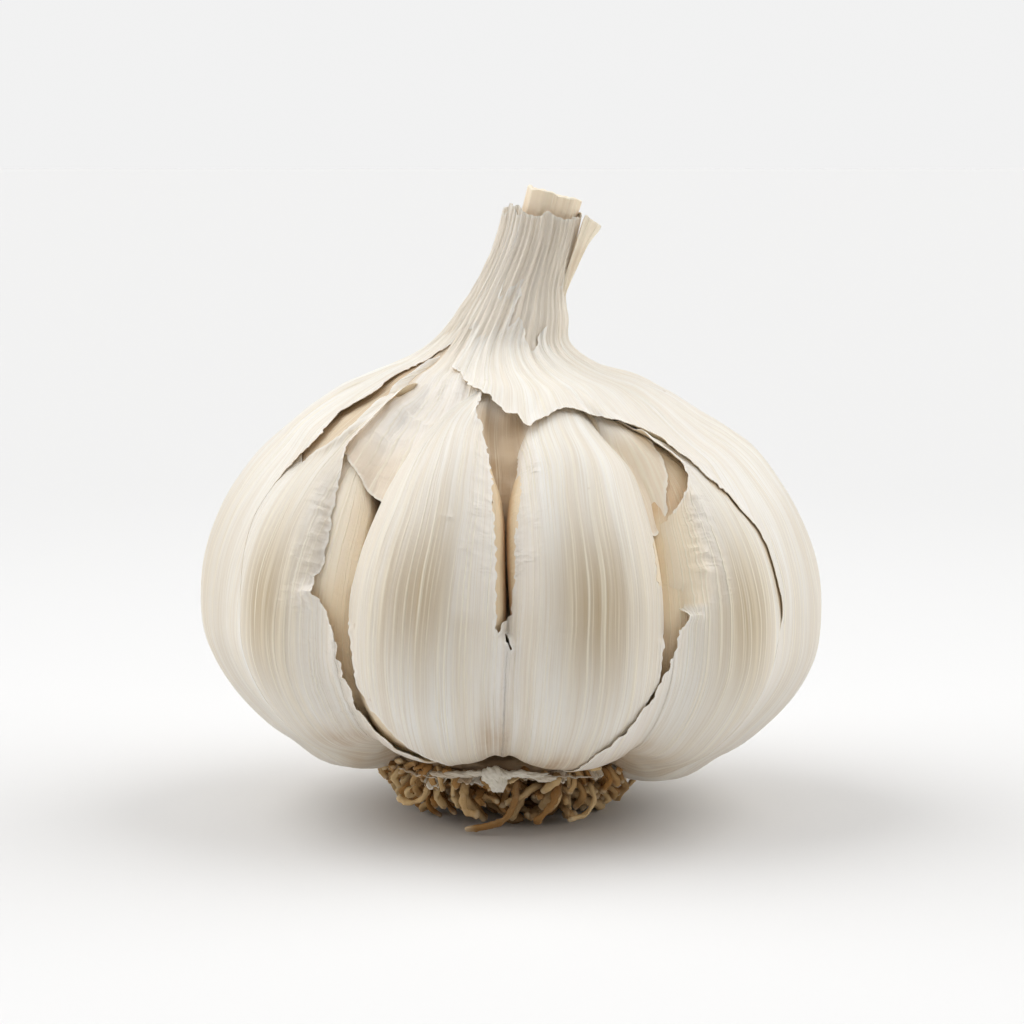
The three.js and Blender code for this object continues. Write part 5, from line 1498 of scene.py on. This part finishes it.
def skin(name, base, tint, vein, tan, purple, inner, rough=0.46, sss=0.12, band=1.0, deep=(0.56, 0.39, 0.235)):
    """Dry leaf skin: fine lengthwise veins over a soft mottle, stains, torn pale rims and a darker inside."""
    g = Graph(name)
    u, v = g.coords()
    obj = g.place()
    low = g.noise(g.vec(g.math("MULTIPLY", u, 0.12), g.math("MULTIPLY", v, 0.06), 1.7), 1.0, 2.0)
    uw = g.math("ADD", u, g.math("MULTIPLY", g.math("SUBTRACT", low, 0.5), 1.3))
    # lengthwise bands and fine lines
    band_a = g.noise(g.vec(g.math("MULTIPLY", uw, 0.55), g.math("MULTIPLY", v, 0.02), 3.1), 1.0, 2.0, 0.55)
    line_a = g.noise(g.vec(g.math("MULTIPLY", uw, 2.4), g.math("MULTIPLY", v, 0.030), 7.7), 1.0, 3.0, 0.62)
    line_b = g.noise(g.vec(g.math("MULTIPLY", uw, 6.5), g.math("MULTIPLY", v, 0.08), 2.2), 1.0, 2.0, 0.6)
    # thin pale veins, nearly parallel, that fade in and out along the leaf
    d1 = g.cells(uw, 0.95)
    fade = g.step(g.noise(g.vec(g.math("MULTIPLY", u, 0.9), g.math("MULTIPLY", v, 0.05), 5.0), 1.0, 1.0), 0.35, 0.68)
    vein1 = g.math("MULTIPLY", g.math("SUBTRACT", 1.0, g.step(d1, 0.02, 0.15)), fade)
    d2 = g.cells(g.math("ADD", uw, 31.0), 2.1)
    fade2 = g.step(g.noise(g.vec(g.math("MULTIPLY", u, 1.6), g.math("MULTIPLY", v, 0.08), 9.0), 1.0, 1.0), 0.38, 0.70)
    vein2 = g.math("MULTIPLY", g.math("SUBTRACT", 1.0, g.step(d2, 0.03, 0.24)), fade2)
    mottle = g.noise(g.scaled(obj, 230.0), 1.0, 3.0, 0.6)
    cloud = g.noise(g.scaled(obj, 60.0), 1.0, 2.0, 0.5)
    fine = g.noise(g.scaled(obj, 1500.0), 1.0, 2.0, 0.6)
    col = g.mix(g.math("MULTIPLY", g.step(band_a, 0.32, 0.68), 0.80 * band), base, tint)
    col = g.mix(g.math("MULTIPLY", g.step(line_a, 0.45, 0.72), 0.50), col, (min(base[0] * 1.03, 0.93), min(base[1] * 1.03, 0.91), min(base[2] * 1.03, 0.88)))
    col = g.mix(g.math("MULTIPLY", g.step(line_b, 0.47, 0.66), 0.45), col, (tint[0] * 0.90, tint[1] * 0.875, tint[2] * 0.84))
    col = g.mix(g.math("MULTIPLY", g.step(cloud, 0.40, 0.75), 0.20), col, (tint[0] * 0.97, tint[1] * 0.93, tint[2] * 0.90))
    # tan where the tan attribute asks: the straw colour of the neck, back and base, and painted shade on the clove
    # middles and along edges where one skin goes in under another
    col = g.mix(g.math("MULTIPLY", g.attr("tan"), g.math("ADD", 0.62, g.math("MULTIPLY", line_a, 0.5)), clamp=True), col, tan)
    col = g.mix(g.math("MULTIPLY", g.attr("cream"), g.math("ADD", 0.75, g.math("MULTIPLY", line_a, 0.4)), clamp=True), col, (0.890, 0.840, 0.750))
    col = g.mix(g.attr("peach"), col, (0.885, 0.735, 0.530))
    # deep ochre where the deep attribute asks: darker towards the base, and painted shade in the slit, the cavities and
    # the gaps under the outer skin
    col = g.mix(g.math("MULTIPLY", g.attr("deep"), 0.85, clamp=True), col, deep)
    # thin, greyish purple skin
    pm = g.math("MULTIPLY", g.attr("purple"), g.step(g.math("ADD", mottle, g.math("MULTIPLY", line_a, 0.5)), 0.35, 0.95), clamp=True)
    pm = g.math("ADD", g.math("MULTIPLY", g.attr("purple"), 0.45), g.math("MULTIPLY", pm, 0.55), clamp=True)
    col = g.mix(g.math("MULTIPLY", pm, 0.80), col, purple)
    col = g.mix(g.math("MULTIPLY", vein2, 0.42), col, vein)
    col = g.mix(g.math("MULTIPLY", vein1, 0.62), col, vein)
    col = g.mix(g.math("MULTIPLY", g.attr("rib"), 0.60, clamp=True), col, (vein[0] * 1.02, vein[1] * 1.0, vein[2] * 0.97))
    # darker fibres of the neck
    fib = g.math("MULTIPLY", g.attr("fibre"), g.step(g.math("ADD", g.math("MULTIPLY", line_a, 0.7), g.math("MULTIPLY", line_b, 0.3)), 0.44, 0.64))
    col = g.mix(g.math("MULTIPLY", g.attr("fibre"), 0.55, clamp=True), col, (0.915, 0.815, 0.670))
    col = g.mix(g.math("MULTIPLY", fib, 0.30, clamp=True), col, (0.760, 0.630, 0.470))
    # brown stains near the base
    st = g.math("MULTIPLY", g.attr("stain"), g.step(g.math("ADD", line_a, g.math("MULTIPLY", mottle, 0.5)), 0.45, 0.95), clamp=True)
    col = g.mix(g.math("MULTIPLY", st, 0.75), col, (0.46, 0.29, 0.15))
    # the pale torn rim, and the inside face
    rim = g.math("SUBTRACT", 1.0, g.step(g.math("ADD", g.attr("edge"), g.math("MULTIPLY", g.attr("blend"), 3.0)), 0.03, 0.40))
    col = g.mix(g.math("MULTIPLY", rim, 0.50), col, (min(base[0] * 1.05, 0.93), min(base[1] * 1.05, 0.90), min(base[2] * 1.03, 0.84)))
    col = g.mix(g.attr("inner"), col, inner)
    # small specks
    speck = g.step(g.noise(g.scaled(obj, 700.0), 1.0, 1.0, 0.5), 0.78, 0.84)
    col = g.mix(g.math("MULTIPLY", speck, 0.30), col, (0.50, 0.36, 0.22))
    g.put(g.bsdf.inputs["Base Color"], col)
    r = g.math("ADD", g.math("MULTIPLY", line_a, 0.16), g.math("MULTIPLY", mottle, 0.14))
    r = g.math("ADD", r, rough - 0.15)
    r = g.math("ADD", r, g.math("MULTIPLY", g.attr("fibre"), 0.14), clamp=True)
    g.put(g.bsdf.inputs["Roughness"], r)
    h = g.math("ADD", g.math("MULTIPLY", line_a, 0.50), g.math("MULTIPLY", line_b, 0.20))
    h = g.math("ADD", h, g.math("MULTIPLY", vein2, 0.12))
    h = g.math("ADD", h, g.math("MULTIPLY", vein1, 0.30))
    h = g.math("ADD", h, g.math("MULTIPLY", mottle, 0.28))
    h = g.math("ADD", h, g.math("MULTIPLY", fib, -0.5))
    b1 = g.bump(h, 0.00016, 0.85)
    # short sharp creases across the veins where the skin has shrunk
    cw = g.noise(g.vec(g.math("MULTIPLY", u, 0.42), g.math("MULTIPLY", v, 1.15), 4.4), 1.0, 1.5, 0.5)
    ridge = g.math("SUBTRACT", 1.0, g.math("MULTIPLY", g.math("ABSOLUTE", g.math("SUBTRACT", cw, 0.5)), 7.0), clamp=True)
    some = g.step(g.noise(g.vec(g.math("MULTIPLY", u, 0.35), g.math("MULTIPLY", v, 0.45), 8.8), 1.0, 1.0), 0.42, 0.62)
    ridge = g.math("MULTIPLY", g.math("MULTIPLY", ridge, some), g.attr("crink"))
    b2 = g.bump(ridge, 0.00011, 0.9, b1)
    b3 = g.bump(fine, 0.00003, 0.5, b2)
    g.put(g.bsdf.inputs["Normal"], b3)
    g.bsdf.inputs["Specular IOR Level"].default_value = 0.42
    if sss > 0:
        g.bsdf.inputs["Subsurface Weight"].default_value = sss
        g.bsdf.inputs["Subsurface Radius"].default_value = (1.0, 0.75, 0.5)
        g.bsdf.inputs["Subsurface Scale"].default_value = 0.0012
    return g.mat


def roots_material():
    g = Graph("dry_root_fibre")
    obj = g.place()
    tint, along = g.attr("tint"), g.attr("along")
    n1 = g.noise(g.scaled(obj, 900.0), 1.0, 3.0, 0.6)
    n2 = g.noise(g.scaled(obj, 260.0), 1.0, 2.0, 0.5)
    col = g.mix(g.step(tint, 0.15, 0.85), (0.44, 0.220, 0.06), (0.85, 0.620, 0.32))
    col = g.mix(g.math("MULTIPLY", g.step(n2, 0.38, 0.72), 0.50), col, (0.34, 0.19, 0.075))
    col = g.mix(g.math("MULTIPLY", g.step(n1, 0.52, 0.80), 0.35), col, (0.76, 0.60, 0.40))
    tip = g.step(along, 0.86, 1.0)
    col = g.mix(g.math("MULTIPLY", tip, 0.6), col, (0.82, 0.68, 0.46))
    base = g.math("SUBTRACT", 1.0, g.step(along, 0.0, 0.35))
    col = g.mix(g.math("MULTIPLY", base, 0.55), col, (0.17, 0.085, 0.03))
    g.put(g.bsdf.inputs["Base Color"], col)
    g.put(g.bsdf.inputs["Roughness"], g.math("ADD", 0.60, g.math("MULTIPLY", n1, 0.25)))
    h = g.math("ADD", n1, g.math("MULTIPLY", n2, 0.8))
    g.put(g.bsdf.inputs["Normal"], g.bump(h, 0.00022, 0.9))
    g.bsdf.inputs["Specular IOR Level"].default_value = 0.35
    return g.mat


def cork_material():
    g = Graph("corky_plate_and_crumbs")
    obj = g.place()
    n1 = g.noise(g.scaled(obj, 800.0), 1.0, 3.0, 0.6)
    n2 = g.noise(g.scaled(obj, 220.0), 1.0, 3.0, 0.6)
    cork = g.mix(g.step(n2, 0.35, 0.7), (0.30, 0.20, 0.12), (0.46, 0.35, 0.23))
    cork = g.mix(g.math("MULTIPLY", g.step(n1, 0.5, 0.75), 0.5), cork, (0.17, 0.10, 0.05))
    paper = g.mix(g.attr("tint"), (0.52, 0.36, 0.20), (0.93, 0.885, 0.775))
    paper = g.mix(g.math("MULTIPLY", g.step(n2, 0.46, 0.75), 0.35), paper, (0.62, 0.48, 0.32))
    col = g.mix(g.attr("papery"), cork, paper)
    g.put(g.bsdf.inputs["Base Color"], col)
    g.put(g.bsdf.inputs["Roughness"], g.math("ADD", 0.58, g.math("MULTIPLY", n1, 0.25)))
    g.put(g.bsdf.inputs["Normal"], g.bump(g.math("MULTIPLY", g.math("ADD", n1, n2), g.math("SUBTRACT", 1.0, g.math("MULTIPLY", g.attr("papery"), 0.6))), 0.00020, 0.8))
    g.bsdf.inputs["Specular IOR Level"].default_value = 0.35
    return g.mat


# ---- the pieces --------------------------------------------------------------------------------------
CREAM = (0.905, 0.876, 0.812)
WARM = (0.800, 0.712, 0.592)
VEIN = (0.900, 0.825, 0.655)
PURPLE = (0.815, 0.745, 0.695)
INSIDE = (0.820, 0.680, 0.490)
papery = skin("papery_skin", CREAM, WARM, VEIN, (0.475, 0.362, 0.218), PURPLE, INSIDE, rough=0.45, sss=0.10)
front_skin = skin("papery_skin_front", CREAM, (0.800, 0.708, 0.582), VEIN, (0.475, 0.360, 0.222), PURPLE, INSIDE, rough=0.42, sss=0.10)
inner_leaf = skin("inner_skin", (0.905, 0.858, 0.780), (0.850, 0.765, 0.650), VEIN, (0.830, 0.670, 0.470), (0.850, 0.785, 0.745), (0.80, 0.63, 0.43), rough=0.46, sss=0.10)
clove_mat = skin("clove_skin", (0.895, 0.800, 0.645), (0.870, 0.725, 0.530), (0.89, 0.78, 0.58), (0.865, 0.690, 0.455), PURPLE, INSIDE, rough=0.40, sss=0.14, band=0.8, deep=(0.60, 0.33, 0.13))
stalk_mat = skin("dry_stalk", (0.890, 0.825, 0.705), (0.840, 0.730, 0.560), (0.88, 0.80, 0.60), (0.810, 0.645, 0.445), PURPLE, (0.68, 0.53, 0.36), rough=0.50, sss=0.08)

leaf_outer(papery)
leaf_inner(inner_leaf)
leaf_left(papery)
leaf_right(papery)
leaf_front(front_skin)
for k in range(11):
    clove(k, clove_mat)
flower_stalk(stalk_mat)
neck_flake(stalk_mat)
basal_plate(cork_material())
root_tuft(roots_material())

# ---- floor, light, camera --------------------------------------------------------------------------------
scene = bpy.context.scene
scene.view_settings.view_transform = "Standard"
scene.view_settings.look = "None"

me = bpy.data.meshes.new("studio_floor")
S = 30.0
me.from_pydata([(-S, -S, 0), (S, -S, 0), (S, S, 0), (-S, S, 0)], [], [(0, 1, 2, 3)])
floor = bpy.data.objects.new("studio_floor", me)
scene.collection.objects.link(floor)
fg = Graph("studio_floor_white")
fd = fg.t.nodes.new("ShaderNodeVectorMath")
fd.operation = "LENGTH"
fg.put(fd.inputs[0], fg.place())
# painted light: the floor is made a little lighter near the bulb, fading out by 300 mm, to lift the shade the bulb
# throws round it
fg.put(fg.bsdf.inputs["Base Color"], fg.mix(fg.step(fd.outputs["Value"], 0.03, 0.30), (0.745, 0.743, 0.741), (0.680, 0.679, 0.677)))
fg.bsdf.inputs["Roughness"].default_value = 0.9
fg.bsdf.inputs["Specular IOR Level"].default_value = 0.0
me.materials.append(fg.mat)

world = bpy.data.worlds.new("studio")
scene.world = world
world.use_nodes = True
wt = world.node_tree
wt.nodes.clear()
wo = wt.nodes.new("ShaderNodeOutputWorld")
bg_see = wt.nodes.new("ShaderNodeBackground")
bg_lit = wt.nodes.new("ShaderNodeBackground")
mixw = wt.nodes.new("ShaderNodeMixShader")
lp = wt.nodes.new("ShaderNodeLightPath")
bg_see.inputs[0].default_value = (0.885, 0.885, 0.885, 1)
bg_see.inputs[1].default_value = 1.0
bg_lit.inputs[0].default_value = (1.0, 0.95, 0.88, 1)
bg_lit.inputs[1].default_value = 0.02
wt.links.new(lp.outputs["Is Camera Ray"], mixw.inputs[0])
wt.links.new(bg_lit.outputs[0], mixw.inputs[1])
wt.links.new(bg_see.outputs[0], mixw.inputs[2])
wt.links.new(mixw.outputs[0], wo.inputs[0])


def sun(name, strength, angle, direction, color=(1, 1, 1)):
    """A broad distant light; direction points from the bulb to the light."""
    d = bpy.data.lights.new(name, "SUN")
    d.energy = strength
    d.angle = math.radians(angle)
    d.color = color
    o = bpy.data.objects.new(name, d)
    from mathutils import Vector
    o.rotation_euler = Vector(direction).to_track_quat("Z", "Y").to_euler()
    scene.collection.objects.link(o)
    return o


sun("top_panel", 0.70, 78, (-0.05, -0.10, 1.0))
sun("left_panel", 2.22, 70, (-1.0, 0.1, 0.85))
sun("right_panel", 1.88, 70, (1.0, 0.1, 0.85))
sun("left_low_panel", 0.28, 80, (-1.0, 0.35, 0.26))
sun("right_low_panel", 0.48, 80, (1.0, 0.35, 0.26))
sun("back_panel", 0.52, 80, (0.0, 1.0, 0.7))
sun("front_panel", 0.38, 80, (0.0, -1.0, 0.55))

EL = math.radians(7.0)
cam_data = bpy.data.cameras.new("camera")
cam_data.lens = 100.0
cam_data.sensor_width = 36.0
cam_data.sensor_fit = "HORIZONTAL"
cam_data.clip_start = 0.01
cam_data.clip_end = 100
cam = bpy.data.objects.new("camera", cam_data)
target = np.array([0.1, 0.0, 28.7])
loc = (target + 274.0 * np.array([0.0, -math.cos(EL), math.sin(EL)])) * 0.001
cam.location = loc.tolist()
cam.rotation_euler = (math.radians(90.0) - EL, 0.0, 0.0)
scene.collection.objects.link(cam)
scene.camera = cam

bpy.context.view_layer.update()
